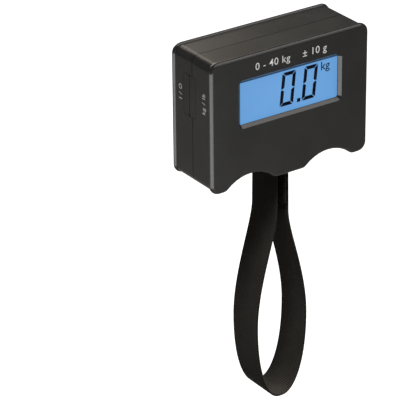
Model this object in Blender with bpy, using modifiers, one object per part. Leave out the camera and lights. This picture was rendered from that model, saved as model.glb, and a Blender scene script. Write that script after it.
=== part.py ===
"""Digital luggage scale: a spool-shaped case on a webbing loop, modelled piece by piece.

Metres, +Z up. The origin is the middle of the plane across the tops of the case's two flanges.
X runs along the display, the display looks toward -Y, and the strap hangs toward -Z.
"""

from math import atan2, cos, degrees, hypot, radians, sin, sqrt

import bmesh
import bpy
from mathutils import Matrix, Vector

# Case
CASE_WIDTH = 0.0880
CASE_HEIGHT = 0.0645
CORNER_RADIUS = 0.0046
FACE_ROUNDING = 0.0014
RIM_ROUNDING = 0.0010
FRONT_FLANGE = 0.0030
REAR_FLANGE = 0.0025
CHANNEL_DEPTH = 0.0007
SIDE_WALL = 0.0018
FACE_WALL = 0.0022
SEAM_GAP = 0.0003
SCALLOP_SPACING = 0.0440
SCALLOP_DEPTH = 0.0056
SCALLOP_RADIUS = 0.01905
SCALLOP_FILLET = 0.0036
SMALLEST_RADIUS = 0.0002

# Fits
TOUCH_GAP = 0.0003
RUN_GAP = 0.0003
GROOVE_GAP = 0.00015

# Display
WINDOW_WIDTH = 0.0550
WINDOW_HEIGHT = 0.0211
WINDOW_TOP = 0.0126
WINDOW_CHAMFER = 0.0013
WINDOW_CHAMFER_DEPTH = 0.0015
WINDOW_LIP = 0.0001
WINDOW_CORNER = 0.0009
PANE_LAP = 0.0012
PANE_THICKNESS = 0.0012
PANE_SEAT = 0.0004
GLASS_THICKNESS = 0.0020
GLASS_LAP = 0.0016
GLASS_LEDGE = 0.0038
BACKLIGHT_LAP = 0.0009
BACKLIGHT_THICKNESS = 0.0020
ZEBRA_HEIGHT = 0.0022
ZEBRA_LENGTH = 0.0500
FRAME_WALL = 0.0018

# Boards
BOARD_THICKNESS = 0.0016
BOARD_SIDE_ROOM = 0.0045
BOARD_BELOW_FRAME = 0.0006
BOARD_SCREW_FROM_EDGE = 0.0026
BOARD_SCREW_TOP = 0.0104
BOARD_SCREW_DROP = 0.0252
BOARD_BOSS_RADIUS = 0.0021
CHIP_X, CHIP_Z = 0.0080, -0.0200
CHIP_RADIUS = 0.0045
CHIP_HEIGHT = 0.0011
CRYSTAL_X, CRYSTAL_Z = 0.0190, -0.0150
CRYSTAL_SIZE = (0.0060, 0.0020, 0.0022)
CAPACITOR_X, CAPACITOR_Z = -0.0080, -0.0160
CAPACITOR_RADIUS = 0.0021
CAPACITOR_HEIGHT = 0.0054

# Buttons on the left side
BUTTON_PAIR_Y = 0.0022
BUTTON_WIDTH = 0.0044
BUTTON_HEIGHT = 0.0200
BUTTON_Z = -0.0209
BUTTON_CORNER = 0.0009
BUTTON_FLANGE = 0.0008
BUTTON_LAP = 0.0007
BUTTON_TRAVEL = 0.0005
BUTTON_GAP = 0.00015
BUTTON_STEM_RADIUS = 0.0012
BUTTON_STEM = 0.0009
SWITCH_STEP_Z = 0.0050
SWITCH_SIDE = 0.0044
SWITCH_BODY = 0.0033
PLUNGER_RADIUS = 0.0011
PLUNGER_OUT = 0.0010
PLUNGER_IN = 0.0007
DAUGHTER_THICKNESS = 0.0010
DAUGHTER_DEPTH = 0.0129
DAUGHTER_HEIGHT = 0.0184
DAUGHTER_DROP = 0.0012

# Weighing beam, its bracket and the strap's yoke
BEAM_LENGTH = 0.0450
BEAM_HEIGHT = 0.0100
BEAM_DEPTH = 0.0090
BEAM_BOTTOM = -0.0480
BEAM_FREE_END = 0.0070
BEAM_EYE_X = -0.0120
BEAM_EYE_SPACING = 0.0080
BEAM_EYE_RADIUS = 0.0032
BEAM_EYE_SLOT = 0.0024
GAUGE_COVER_SIZE = (0.0110, 0.0076, 0.0010)
BEAM_BOLT_RADIUS = 0.0017
BEAM_BOLT_HEAD_RADIUS = 0.0032
BEAM_BOLT_HEAD = 0.0018
BEAM_BOLT_LENGTH = 0.0085
FIXED_BOLT_X = (-0.0335, -0.0255)
BRACKET_THICKNESS = 0.0018
BRACKET_LEFT = -0.0370
BRACKET_WIDTH = 0.0160
BRACKET_TOP = -0.0205
BRACKET_FRONT = -0.0040
BRACKET_SCREW_X = (-0.0302, -0.0234)
BRACKET_SCREW_Z = -0.0250
BRACKET_BOSS = 0.0026
BRACKET_BOSS_RADIUS = 0.0026
YOKE_WIDTH = 0.0092
YOKE_THICKNESS = 0.0014
YOKE_REACH = 0.0034
PIN_END_ROOM = 0.00215
PIN_Z = -0.0560
PIN_RADIUS = 0.00205
PIN_HEAD_RADIUS = 0.0029
PIN_HEAD = 0.0008
PIN_NECK_RADIUS = 0.0012
CLIP_THICKNESS = 0.0004
CLIP_RADIUS = 0.0029

# Strap: one loop of webbing that turns over the pin and hangs below the case
STRAP_WIDTH = 0.0195
STRAP_THICKNESS = 0.0012
STRAP_SIDE_GAP = 0.0005
STRAP_NECK_HALF = 0.00325
STRAP_NECK_Z = -0.0873
STRAP_NECK_EASE = 0.0111
STRAP_WIDEST_Z = -0.1450
STRAP_WIDEST_HALF = 0.0142
STRAP_WIDEST_RISE = 0.0228
STRAP_WIDEST_FALL = 0.0269
STRAP_BOTTOM_Z = -0.1852
STRAP_BOTTOM_HALF_FLAT = 0.0009
STRAP_BOTTOM_EASE = 0.0064
SPLICE_TOP = -0.0600
SPLICE_BOTTOM = -0.0830
GUIDE_SWING_ROOM = 0.0026
GUIDE_SIDE_GAP = 0.0008
GUIDE_WALL = 0.0007
GUIDE_FLANGE_ACROSS = 0.0005
GUIDE_FLANGE_ALONG = 0.0011
GUIDE_FLANGE_THICKNESS = 0.0008

# Coin cell and its lid in the back
CELL_Z = -0.0310
CELL_SIDE_ROOM = 0.0013
CELL_RADIUS = 0.0100
CELL_THICKNESS = 0.0032
CELL_GAP = 0.0004
HOLDER_WALL = 0.0022
HOLDER_FLOOR = 0.0014
HOLDER_EAR = 0.0036
HOLDER_SCREW_OUT = 0.0039
CONTACT_THICKNESS = 0.0003
CONTACT_WIDTH = 0.0050
CONTACT_TAB = 0.0030
LID_LIP = 0.00205
LID_THICKNESS = 0.0012
LID_SPIGOT_MARGIN = 0.00095
LID_HEIGHT = 0.0047
LID_LUG_REACH = 0.00135
LID_LUG_WIDTH = 0.0060
LID_LUG_THICKNESS = 0.0010
LID_TURN = 45.0
LID_RING_WALL = 0.0021
LID_RING_HEIGHT = 0.0034
COIN_SLOT = (0.0140, 0.0018, 0.0007)
SEAL_SECTION_RADIUS = 0.00045
SEAL_INSET = 0.00035

# Screws and leads
CASE_SCREW_FROM_WALL = 0.0023
CASE_SCREW_TOP = 0.0056
CASE_SCREW_BOTTOM = 0.0056
CASE_BOSS_RADIUS = 0.0028
BOSS_SHY = 0.0001
CASE_SCREW_HEAD_Y = 0.0080
SCREW_RADIUS = 0.0011
SCREW_HEAD_RADIUS = 0.0020
SCREW_HEAD = 0.0014
SCREW_DRIVE_RADIUS = 0.0008
SCREW_DRIVE_DEPTH = 0.0007
CASE_SCREW_LENGTH = 0.0130
SHORT_SCREW_LENGTH = 0.0052
LEAD_RADIUS = 0.0006

# Faceting
CORNER_STEPS = 6
FACE_STEPS = 4
FILLET_STEPS = 3
SCALLOP_STEPS = 10
ROUND_STEPS = 20
SMALL_STEPS = 12
BEZIER_STEPS = 9
OVERCUT = 0.0010

# Derived places
CASE_DEPTH = STRAP_WIDTH + 2 * (STRAP_SIDE_GAP + YOKE_THICKNESS + PIN_END_ROOM + FACE_WALL)
FRONT_Y = -CASE_DEPTH / 2
REAR_Y = CASE_DEPTH / 2
INNER_INSET = CHANNEL_DEPTH + SIDE_WALL
INNER_FRONT_Y = FRONT_Y + FACE_WALL
INNER_REAR_Y = REAR_Y - FACE_WALL
SIDE_X = CASE_WIDTH / 2 - CHANNEL_DEPTH
INNER_SIDE_X = CASE_WIDTH / 2 - INNER_INSET
FLOOR_Z = -CASE_HEIGHT + CHANNEL_DEPTH
INNER_FLOOR_Z = -CASE_HEIGHT + INNER_INSET
CASE_SCREW_X = INNER_SIDE_X - CASE_SCREW_FROM_WALL
WINDOW_Z = -WINDOW_TOP - WINDOW_HEIGHT / 2
PANE_FRONT = INNER_FRONT_Y - PANE_SEAT + TOUCH_GAP
GLASS_FRONT = PANE_FRONT + PANE_THICKNESS + TOUCH_GAP
GLASS_TOP = -WINDOW_TOP + GLASS_LAP
GLASS_BOTTOM = -WINDOW_TOP - WINDOW_HEIGHT - GLASS_LAP - GLASS_LEDGE
GLASS_HALF_WIDTH = WINDOW_WIDTH / 2 + GLASS_LAP
BACKLIGHT_FRONT = GLASS_FRONT + GLASS_THICKNESS + TOUCH_GAP
BACKLIGHT_BOTTOM = -WINDOW_TOP - WINDOW_HEIGHT - BACKLIGHT_LAP
BOARD_FRONT = BACKLIGHT_FRONT + BACKLIGHT_THICKNESS + TOUCH_GAP
BOARD_BACK = BOARD_FRONT + BOARD_THICKNESS
BOARD_HALF_WIDTH = INNER_SIDE_X - BOARD_SIDE_ROOM
BOARD_SCREW_X = BOARD_HALF_WIDTH - BOARD_SCREW_FROM_EDGE
BEAM_TOP = BEAM_BOTTOM + BEAM_HEIGHT
BEAM_FIXED_END = BEAM_FREE_END - BEAM_LENGTH
STRAP_PATH_RADIUS = PIN_RADIUS + RUN_GAP + STRAP_THICKNESS / 2
YOKE_INNER_Y = STRAP_WIDTH / 2 + STRAP_SIDE_GAP
YOKE_OUTER_Y = YOKE_INNER_Y + YOKE_THICKNESS
STRAP_OUTER_RADIUS = STRAP_PATH_RADIUS + STRAP_THICKNESS / 2
GUIDE_HALF_OPENING = STRAP_OUTER_RADIUS + GUIDE_SWING_ROOM
GUIDE_INNER_Y = STRAP_WIDTH / 2 + GUIDE_SIDE_GAP
LID_SPIGOT_END = REAR_Y - LID_HEIGHT
LID_RING_BACK = REAR_Y - LID_RING_HEIGHT
LID_SPIGOT_RADIUS = CELL_RADIUS + LID_SPIGOT_MARGIN
LID_LUG_RADIUS = LID_SPIGOT_RADIUS + LID_LUG_REACH
LID_RADIUS = LID_SPIGOT_RADIUS + LID_LIP
LID_RING_RADIUS = LID_RADIUS + LID_RING_WALL
SEAL_MIDDLE_RADIUS = LID_SPIGOT_RADIUS - SEAL_INSET
LID_SEAT_Y = REAR_Y - LID_THICKNESS - TOUCH_GAP
LID_BORE_RADIUS = LID_SPIGOT_RADIUS + RUN_GAP
CELL_BACK_Y = LID_SPIGOT_END - CELL_GAP
CELL_FRONT_Y = CELL_BACK_Y - CELL_THICKNESS
HOLDER_BORE_RADIUS = CELL_RADIUS + CELL_GAP
HOLDER_RADIUS = HOLDER_BORE_RADIUS + HOLDER_WALL
HOLDER_SCREW_REACH = HOLDER_RADIUS + HOLDER_SCREW_OUT
CELL_X = INNER_SIDE_X - CELL_SIDE_ROOM - CONTACT_TAB - HOLDER_RADIUS
CONTACT_Y = CELL_FRONT_Y - TOUCH_GAP - CONTACT_THICKNESS / 2
HOLDER_FLOOR_Y = CONTACT_Y - CONTACT_THICKNESS / 2 - TOUCH_GAP
HOLDER_FRONT_Y = HOLDER_FLOOR_Y - HOLDER_FLOOR
BUTTON_BACK_X = -INNER_SIDE_X + TOUCH_GAP + BUTTON_FLANGE
SWITCH_FRONT_X = BUTTON_BACK_X + BUTTON_STEM + TOUCH_GAP + PLUNGER_OUT
DAUGHTER_X = SWITCH_FRONT_X + SWITCH_BODY + TOUCH_GAP

SCALLOP_CENTER_Z = -CASE_HEIGHT + SCALLOP_DEPTH - SCALLOP_RADIUS
FILLET_CENTER_Z = -CASE_HEIGHT + SCALLOP_FILLET


# ---------------------------------------------------------------- scene and materials


def clear_scene():
    """Removes whatever the scene holds."""
    for obj in list(bpy.data.objects):
        bpy.data.objects.remove(obj)


def new_collection(name):
    collection = bpy.data.collections.new(name)
    bpy.context.scene.collection.children.link(collection)
    return collection


def new_material(name, color, roughness, metallic=0.0, transmission=0.0):
    """A Principled BSDF with the piece's own colour, roughness and metallic value."""
    made = bpy.data.materials.new(name)
    made.use_nodes = True
    shader = made.node_tree.nodes["Principled BSDF"]
    shader.inputs["Base Color"].default_value = (*color, 1.0)
    shader.inputs["Roughness"].default_value = roughness
    shader.inputs["Metallic"].default_value = metallic
    shader.inputs["Transmission Weight"].default_value = transmission
    made.diffuse_color = (*color, 1.0)
    return made


def finish(obj, color, roughness, metallic=0.0, transmission=0.0):
    """Gives the piece its own material and smooth round faces, and returns it."""
    obj.data.materials.clear()
    obj.data.materials.append(new_material(obj.name, color, roughness, metallic, transmission))
    obj.data.shade_smooth()
    obj.data.set_sharp_from_angle(angle=radians(35))
    return obj


def black_plastic(obj):
    return finish(obj, (0.035, 0.034, 0.032), 0.45)


def steel(obj):
    return finish(obj, (0.56, 0.57, 0.58), 0.32, 1.0)


# ---------------------------------------------------------------- shapes


def object_from(name, mesh_builder):
    """A new object in the case's collection, holding what the bmesh builder made."""
    mesh = bpy.data.meshes.new(name)
    mesh_builder.to_mesh(mesh)
    mesh_builder.free()
    obj = bpy.data.objects.new(name, mesh)
    PIECES.objects.link(obj)
    return obj


def box(name, x_range, y_range, z_range):
    """A box between the two limits given on each axis."""
    ranges = (x_range, y_range, z_range)
    size = [abs(high - low) for low, high in ranges]
    middle = [(low + high) / 2 for low, high in ranges]
    made = bmesh.new()
    placed = Matrix.Translation(middle) @ Matrix.Diagonal((*size, 1.0))
    bmesh.ops.create_cube(made, size=1.0, matrix=placed)
    return object_from(name, made)


def round_edges(obj, radius, steps, along=None, at=None):
    """Rounds the edges that run along an axis number, or those that lie in a plane (axis number, place)."""
    made = bmesh.new()
    made.from_mesh(obj.data)
    made.normal_update()
    chosen = []
    for edge in made.edges:
        start, end = (vert.co for vert in edge.verts)
        turn = end - start
        if along is not None:
            picked = abs(turn.normalized()[along]) > 0.8
        else:
            axis, place = at
            picked = abs(start[axis] - place) < 1e-6 and abs(end[axis] - place) < 1e-6
        if picked and edge.calc_face_angle(0.0) > radians(45):
            chosen.append(edge)
    bmesh.ops.bevel(made, geom=chosen, offset=radius, segments=steps, profile=0.5, affect="EDGES")
    made.to_mesh(obj.data)
    made.free()
    return obj


AXIS_TURN = {
    "x": Matrix.Rotation(radians(90), 4, "Y"),
    "y": Matrix.Rotation(radians(-90), 4, "X"),
    "z": Matrix.Identity(4),
}
AXIS_NUMBER = {"x": 0, "y": 1, "z": 2}


def cylinder(name, radius, axis, start, end, through, steps=SMALL_STEPS):
    """A cylinder along an axis from start to end. The other two coordinates are those of through."""
    middle = Vector(through)
    middle[AXIS_NUMBER[axis]] = (start + end) / 2
    made = bmesh.new()
    bmesh.ops.create_cone(
        made,
        cap_ends=True,
        segments=steps,
        radius1=radius,
        radius2=radius,
        depth=abs(end - start),
        matrix=Matrix.Translation(middle) @ AXIS_TURN[axis],
    )
    return object_from(name, made)


def turned(name, profile, axis, location, steps=SMALL_STEPS, closed=False):
    """A turned piece: (radius, height) points from the top down the outer side, turned about an axis.

    A closed profile makes a ring, and an open one starts and ends on the axis.
    """
    made = bmesh.new()
    verts = [made.verts.new((radius, 0.0, height)) for radius, height in profile]
    pairs = list(zip(verts, verts[1:]))
    if closed:
        pairs.append((verts[-1], verts[0]))
    for pair in pairs:
        made.edges.new(pair)
    obj = object_from(name, made)
    screw = obj.modifiers.new("turn", "SCREW")
    screw.axis = "Z"
    screw.angle = radians(360)
    screw.steps = steps
    screw.render_steps = steps
    screw.use_merge_vertices = True
    screw.merge_threshold = 0.00001
    obj.matrix_world = Matrix.Translation(location) @ AXIS_TURN[axis]
    return obj


def mesh_of_curve(name, curve, placed):
    """The curve's evaluated mesh as a new object, with its caps welded on and its place applied."""
    source = bpy.data.objects.new(name + "_curve", curve)
    PIECES.objects.link(source)
    source.matrix_world = placed
    bpy.context.view_layer.update()
    graph = bpy.context.evaluated_depsgraph_get()
    mesh = bpy.data.meshes.new_from_object(source.evaluated_get(graph))
    made = bmesh.new()
    made.from_mesh(mesh)
    bmesh.ops.transform(made, matrix=source.matrix_world, verts=made.verts)
    bmesh.ops.remove_doubles(made, verts=made.verts, dist=0.000002)
    bmesh.ops.recalc_face_normals(made, faces=made.faces)
    bpy.data.objects.remove(source)
    return object_from(name, made)


def outline_curve(name, outline, half_thickness, fill="BOTH", cyclic=True):
    curve = bpy.data.curves.new(name, "CURVE")
    curve.dimensions = "2D"
    curve.fill_mode = fill
    curve.extrude = half_thickness
    spline = curve.splines.new("POLY")
    spline.points.add(len(outline) - 1)
    for point, (across, up) in zip(spline.points, outline):
        point.co = (across, up, 0.0, 1.0)
    spline.use_cyclic_u = cyclic
    return curve


STAND_UP = Matrix.Rotation(radians(90), 4, "X")


def plate(name, outline, y_range):
    """A flat piece with an outline in X and Z, between two Y values."""
    low, high = y_range
    curve = outline_curve(name, outline, (high - low) / 2)
    return mesh_of_curve(name, curve, Matrix.Translation((0, (low + high) / 2, 0)) @ STAND_UP)


def strip(name, path, width, thickness, cyclic=False, flat=True, place=(0, 0, 0)):
    """A bent strip. Its path lies in X and Z and its width along Y or, when not flat, in X and Y and along Z."""
    curve = outline_curve(name, path, width / 2, fill="NONE", cyclic=cyclic)
    turn = STAND_UP if flat else Matrix.Identity(4)
    obj = mesh_of_curve(name, curve, Matrix.Translation(place) @ turn)
    solid = obj.modifiers.new("thickness", "SOLIDIFY")
    solid.thickness = thickness
    solid.offset = 0.0
    solid.use_even_offset = True
    return obj


def lead(name, points):
    """A round wire through the points, as a filled tube."""
    curve = bpy.data.curves.new(name, "CURVE")
    curve.dimensions = "3D"
    curve.bevel_depth = LEAD_RADIUS
    curve.bevel_resolution = 1
    curve.use_fill_caps = True
    spline = curve.splines.new("POLY")
    spline.points.add(len(points) - 1)
    for point, place in zip(spline.points, points):
        point.co = (*place, 1.0)
    return mesh_of_curve(name, curve, Matrix.Identity(4))


def combine(obj, other, operation):
    """Cuts the other object from this one or joins it on, and puts the other with the cutters.

    The bosses in the covers' corners graze the walls, which only the manifold solver joins cleanly.
    """
    boolean = obj.modifiers.new(other.name, "BOOLEAN")
    boolean.operation = operation
    boolean.solver = "MANIFOLD" if obj.name.endswith("_cover") else "EXACT"
    boolean.object = other
    other.hide_render = True
    other.display_type = "WIRE"
    PIECES.objects.unlink(other)
    CUTTERS.objects.link(other)
    return obj


def cut(obj, *others):
    for other in others:
        combine(obj, other, "DIFFERENCE")
    return obj


def join(obj, *others):
    for other in others:
        combine(obj, other, "UNION")
    return obj


def set_origin(obj, point):
    """Moves the object's origin without moving its shape."""
    shift = Vector(point)
    obj.data.transform(Matrix.Translation(-shift) @ obj.matrix_world)
    obj.matrix_world = Matrix.Translation(shift)
    return obj


def attach(child, parent):
    """Makes the child ride on the parent, where it is."""
    bpy.context.view_layer.update()
    child.parent = parent
    child.matrix_parent_inverse = parent.matrix_world.inverted()


def arc(center, radius, start, end, steps):
    """Points on an arc in X and Z, from one angle to another in degrees."""
    angles = [radians(start + (end - start) * step / steps) for step in range(steps + 1)]
    return [(center[0] + radius * cos(angle), center[1] + radius * sin(angle)) for angle in angles]


def rounded_rectangle(x_range, z_range, radius, steps=FILLET_STEPS):
    (left, right), (bottom, top) = x_range, z_range
    corners = (
        ((right - radius, top - radius), 0),
        ((left + radius, top - radius), 90),
        ((left + radius, bottom + radius), 180),
        ((right - radius, bottom + radius), 270),
    )
    return [point for center, start in corners for point in arc(center, radius, start, start + 90, steps)]


def case_outline(inset):
    """The case's outline drawn in by inset: a rounded rectangle with two finger scallops in its bottom edge."""
    half = CASE_WIDTH / 2 - CORNER_RADIUS
    corner = max(CORNER_RADIUS - inset, SMALLEST_RADIUS)
    fillet = max(SCALLOP_FILLET - inset, SMALLEST_RADIUS)
    reach = SCALLOP_RADIUS + SCALLOP_FILLET
    rise = FILLET_CENTER_Z - SCALLOP_CENTER_Z
    offset = sqrt(reach**2 - rise**2)
    lean = degrees(atan2(rise, offset))
    points = arc((half, -CORNER_RADIUS), corner, 0, 90, CORNER_STEPS)
    points += arc((-half, -CORNER_RADIUS), corner, 90, 180, CORNER_STEPS)
    points += arc((-half, -CASE_HEIGHT + CORNER_RADIUS), corner, 180, 270, CORNER_STEPS)
    for middle in (-SCALLOP_SPACING / 2, SCALLOP_SPACING / 2):
        scallop = (middle, SCALLOP_CENTER_Z)
        points += arc((middle - offset, FILLET_CENTER_Z), fillet, 270, 360 - lean, FILLET_STEPS)
        points += arc(scallop, SCALLOP_RADIUS + inset, 180 - lean, lean, SCALLOP_STEPS)[1:-1]
        points += arc((middle + offset, FILLET_CENTER_Z), fillet, 180 + lean, 270, FILLET_STEPS)
    points += arc((half, -CASE_HEIGHT + CORNER_RADIUS), corner, 270, 360, CORNER_STEPS)
    return points


def bezier(first, second, third, last, steps=BEZIER_STEPS):
    points = []
    for step in range(steps + 1):
        t = step / steps
        weights = ((1 - t) ** 3, 3 * (1 - t) ** 2 * t, 3 * (1 - t) * t**2, t**3)
        points.append(
            tuple(sum(w * p[axis] for w, p in zip(weights, (first, second, third, last))) for axis in (0, 1))
        )
    return points


def screw_piece(name, head_radius, head, shank_radius, length, axis, location, flip=False):
    """A pan-head screw with a drive recess. Its head stands on its location and its shank goes the other way."""
    drive = min(SCREW_DRIVE_RADIUS, head_radius / 2)
    profile = [
        (0.0, head - SCREW_DRIVE_DEPTH),
        (drive, head - SCREW_DRIVE_DEPTH),
        (drive, head),
        (head_radius * 0.8, head),
        (head_radius, head * 0.6),
        (head_radius, 0.0),
        (shank_radius, 0.0),
        (shank_radius, -length + shank_radius),
        (0.0, -length),
    ]
    obj = turned(name, profile, axis, location)
    if flip:
        obj.matrix_world = obj.matrix_world @ Matrix.Rotation(radians(180), 4, "X")
    return steel(obj)


# ---------------------------------------------------------------- covers


def case_corners():
    """(x, z) of the four case screws."""
    low = -CASE_HEIGHT + CASE_SCREW_BOTTOM
    return [(x, z) for z in (-CASE_SCREW_TOP, low) for x in (-CASE_SCREW_X, CASE_SCREW_X)]


def board_screw_places():
    heights = (-BOARD_SCREW_TOP, -BOARD_SCREW_TOP - BOARD_SCREW_DROP)
    return [(x, z) for z in heights for x in (-BOARD_SCREW_X, BOARD_SCREW_X)]


def shell(name, face_y, flange, seam_y):
    """One cover: a face with its flange and the channel wall that runs from it to the seam."""
    inward = 1 if face_y < 0 else -1
    flange_ys = sorted((face_y, face_y + inward * flange))
    wall_ys = sorted((face_y + inward * flange / 2, seam_y))
    hollow_ys = sorted((face_y + inward * FACE_WALL, inward * CASE_DEPTH))
    cover = plate(name, case_outline(0.0), flange_ys)
    round_edges(cover, FACE_ROUNDING, FACE_STEPS, at=(1, face_y))
    round_edges(cover, RIM_ROUNDING, FILLET_STEPS, at=(1, face_y + inward * flange))
    join(cover, plate(name + "_wall", case_outline(CHANNEL_DEPTH), wall_ys))
    cut(cover, plate(name + "_hollow", case_outline(INNER_INSET), hollow_ys))
    return cover


def button_opening(name):
    half = BUTTON_WIDTH + TOUCH_GAP / 2 + BUTTON_GAP
    opening = box(
        name,
        (-CASE_WIDTH, -INNER_SIDE_X + OVERCUT),
        (BUTTON_PAIR_Y - half, BUTTON_PAIR_Y + half),
        (BUTTON_Z - BUTTON_HEIGHT / 2 - BUTTON_GAP, BUTTON_Z + BUTTON_HEIGHT / 2 + BUTTON_GAP),
    )
    return round_edges(opening, BUTTON_CORNER, 3, along=0)


def strap_slot(name):
    half_x = GUIDE_HALF_OPENING + GUIDE_WALL + TOUCH_GAP
    half_y = GUIDE_INNER_Y + GUIDE_WALL + TOUCH_GAP
    return box(name, (-half_x, half_x), (-half_y, half_y), (-CASE_HEIGHT - OVERCUT, INNER_FLOOR_Z + OVERCUT))


def window_cutter():
    """The window's chamfered mouth, which narrows to the opening that shows the display."""
    rims = []
    for y, grown in ((FRONT_Y - WINDOW_CHAMFER_DEPTH, 2 * WINDOW_CHAMFER), (FRONT_Y + WINDOW_CHAMFER_DEPTH, WINDOW_LIP)):
        half_x = WINDOW_WIDTH / 2 + grown
        half_z = WINDOW_HEIGHT / 2 + grown
        outline = rounded_rectangle((-half_x, half_x), (WINDOW_Z - half_z, WINDOW_Z + half_z), WINDOW_CORNER + grown)
        rims.append([(x, y, z) for x, z in outline])
    made = bmesh.new()
    outer, inner = [[made.verts.new(point) for point in rim] for rim in rims]
    made.faces.new(outer)
    made.faces.new(inner)
    for start in range(len(outer)):
        end = (start + 1) % len(outer)
        made.faces.new((outer[start], outer[end], inner[end], inner[start]))
    bmesh.ops.recalc_face_normals(made, faces=made.faces)
    return object_from("window_mouth", made)


def window_opening():
    half_x = WINDOW_WIDTH / 2
    half_z = WINDOW_HEIGHT / 2
    outline = rounded_rectangle((-half_x, half_x), (WINDOW_Z - half_z, WINDOW_Z + half_z), WINDOW_CORNER)
    return plate("window_opening", outline, (FRONT_Y + WINDOW_CHAMFER_DEPTH / 2, INNER_FRONT_Y + OVERCUT))


def make_front_cover():
    cover = shell("front_cover", FRONT_Y, FRONT_FLANGE, -SEAM_GAP / 2)
    half_x = WINDOW_WIDTH / 2 + PANE_LAP + TOUCH_GAP
    half_z = WINDOW_HEIGHT / 2 + PANE_LAP + TOUCH_GAP
    seat_ys = (INNER_FRONT_Y - PANE_SEAT, INNER_FRONT_Y + OVERCUT)
    seat = box("pane_seat", (-half_x, half_x), seat_ys, (WINDOW_Z - half_z, WINDOW_Z + half_z))
    cut(cover, window_cutter(), window_opening(), seat)
    for x, z in case_corners():
        ends = (INNER_FRONT_Y - FACE_WALL / 2, -SEAM_GAP / 2 - BOSS_SHY)
        join(cover, cylinder("front_boss", CASE_BOSS_RADIUS, "y", *ends, (x, 0, z)))
        hole = SCREW_RADIUS + TOUCH_GAP
        depth = CASE_SCREW_HEAD_Y - CASE_SCREW_LENGTH - TOUCH_GAP
        cut(cover, cylinder("front_pilot", hole, "y", depth, OVERCUT, (x, 0, z)))
    for x, z in board_screw_places():
        ends = (INNER_FRONT_Y - FACE_WALL / 2, BOARD_FRONT - TOUCH_GAP)
        join(cover, cylinder("board_boss", BOARD_BOSS_RADIUS, "y", *ends, (x, 0, z)))
        tip = BOARD_BACK - SHORT_SCREW_LENGTH
        hole = SCREW_RADIUS + TOUCH_GAP
        cut(cover, cylinder("board_pilot", hole, "y", tip, BOARD_BACK, (x, 0, z)))
    cut(cover, button_opening("front_button_opening"), strap_slot("front_strap_slot"))
    return finish(cover, (0.038, 0.036, 0.033), 0.42)


def lid_notches():
    """Two entry notches in the lid's bore, a lid turn away from the lugs at rest."""
    width = LID_LUG_WIDTH + 4 * RUN_GAP
    reach = LID_LUG_RADIUS + 2 * RUN_GAP
    notch = box("lid_notches", (-reach, reach), (LID_RING_BACK - OVERCUT, LID_SEAT_Y + OVERCUT / 4), (-width / 2, width / 2))
    notch.data.transform(Matrix.Rotation(radians(-LID_TURN), 4, "Y"))
    notch.matrix_world = Matrix.Translation((CELL_X, 0, CELL_Z))
    return notch


def make_rear_cover():
    cover = shell("rear_cover", REAR_Y, REAR_FLANGE, SEAM_GAP / 2)
    cell = (CELL_X, 0, CELL_Z)
    ring = cylinder("lid_ring", LID_RING_RADIUS, "y", LID_RING_BACK, REAR_Y - FACE_WALL / 2, cell, ROUND_STEPS)
    join(cover, ring)
    seat_radius = LID_RADIUS + RUN_GAP
    cut(cover, cylinder("lid_seat", seat_radius, "y", LID_SEAT_Y, REAR_Y + OVERCUT, cell, ROUND_STEPS * 2))
    bore_ends = (LID_RING_BACK - OVERCUT, REAR_Y)
    cut(cover, cylinder("lid_bore", LID_BORE_RADIUS, "y", *bore_ends, cell, ROUND_STEPS * 2), lid_notches())
    for x, z in case_corners():
        ends = (SEAM_GAP / 2 + BOSS_SHY, INNER_REAR_Y + FACE_WALL / 2)
        join(cover, cylinder("rear_boss", CASE_BOSS_RADIUS, "y", *ends, (x, 0, z)))
        well = SCREW_HEAD_RADIUS + TOUCH_GAP
        hole = SCREW_RADIUS + TOUCH_GAP
        floor = CASE_SCREW_HEAD_Y - TOUCH_GAP
        cut(cover, cylinder("rear_well", well, "y", floor, REAR_Y + OVERCUT, (x, 0, z)))
        cut(cover, cylinder("rear_hole", hole, "y", -OVERCUT, CASE_SCREW_HEAD_Y, (x, 0, z)))
    for x in BRACKET_SCREW_X:
        place = (x, 0, BRACKET_SCREW_Z)
        front = INNER_REAR_Y - BRACKET_BOSS
        join(cover, cylinder("bracket_boss", BRACKET_BOSS_RADIUS, "y", front, INNER_REAR_Y + FACE_WALL / 2, place))
        hole = SCREW_RADIUS + TOUCH_GAP
        cut(cover, cylinder("bracket_pilot", hole, "y", front - OVERCUT, REAR_Y - FACE_WALL / 2, place))
    for z in holder_screw_heights():
        place = (CELL_X, 0, z)
        front = CELL_BACK_Y
        join(cover, cylinder("holder_boss", BRACKET_BOSS_RADIUS, "y", front, INNER_REAR_Y + FACE_WALL / 2, place))
        hole = SCREW_RADIUS + TOUCH_GAP
        cut(cover, cylinder("holder_pilot", hole, "y", front - OVERCUT, REAR_Y - FACE_WALL / 2, place))
    cut(cover, button_opening("rear_button_opening"), strap_slot("rear_strap_slot"))
    return finish(cover, (0.038, 0.036, 0.033), 0.42)


def make_case_screws():
    for number, (x, z) in enumerate(case_corners(), 1):
        screw_piece(
            f"case_screw_{number}",
            SCREW_HEAD_RADIUS,
            SCREW_HEAD,
            SCREW_RADIUS,
            CASE_SCREW_LENGTH,
            "y",
            (x, CASE_SCREW_HEAD_Y, z),
        )


# ---------------------------------------------------------------- display and boards


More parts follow.
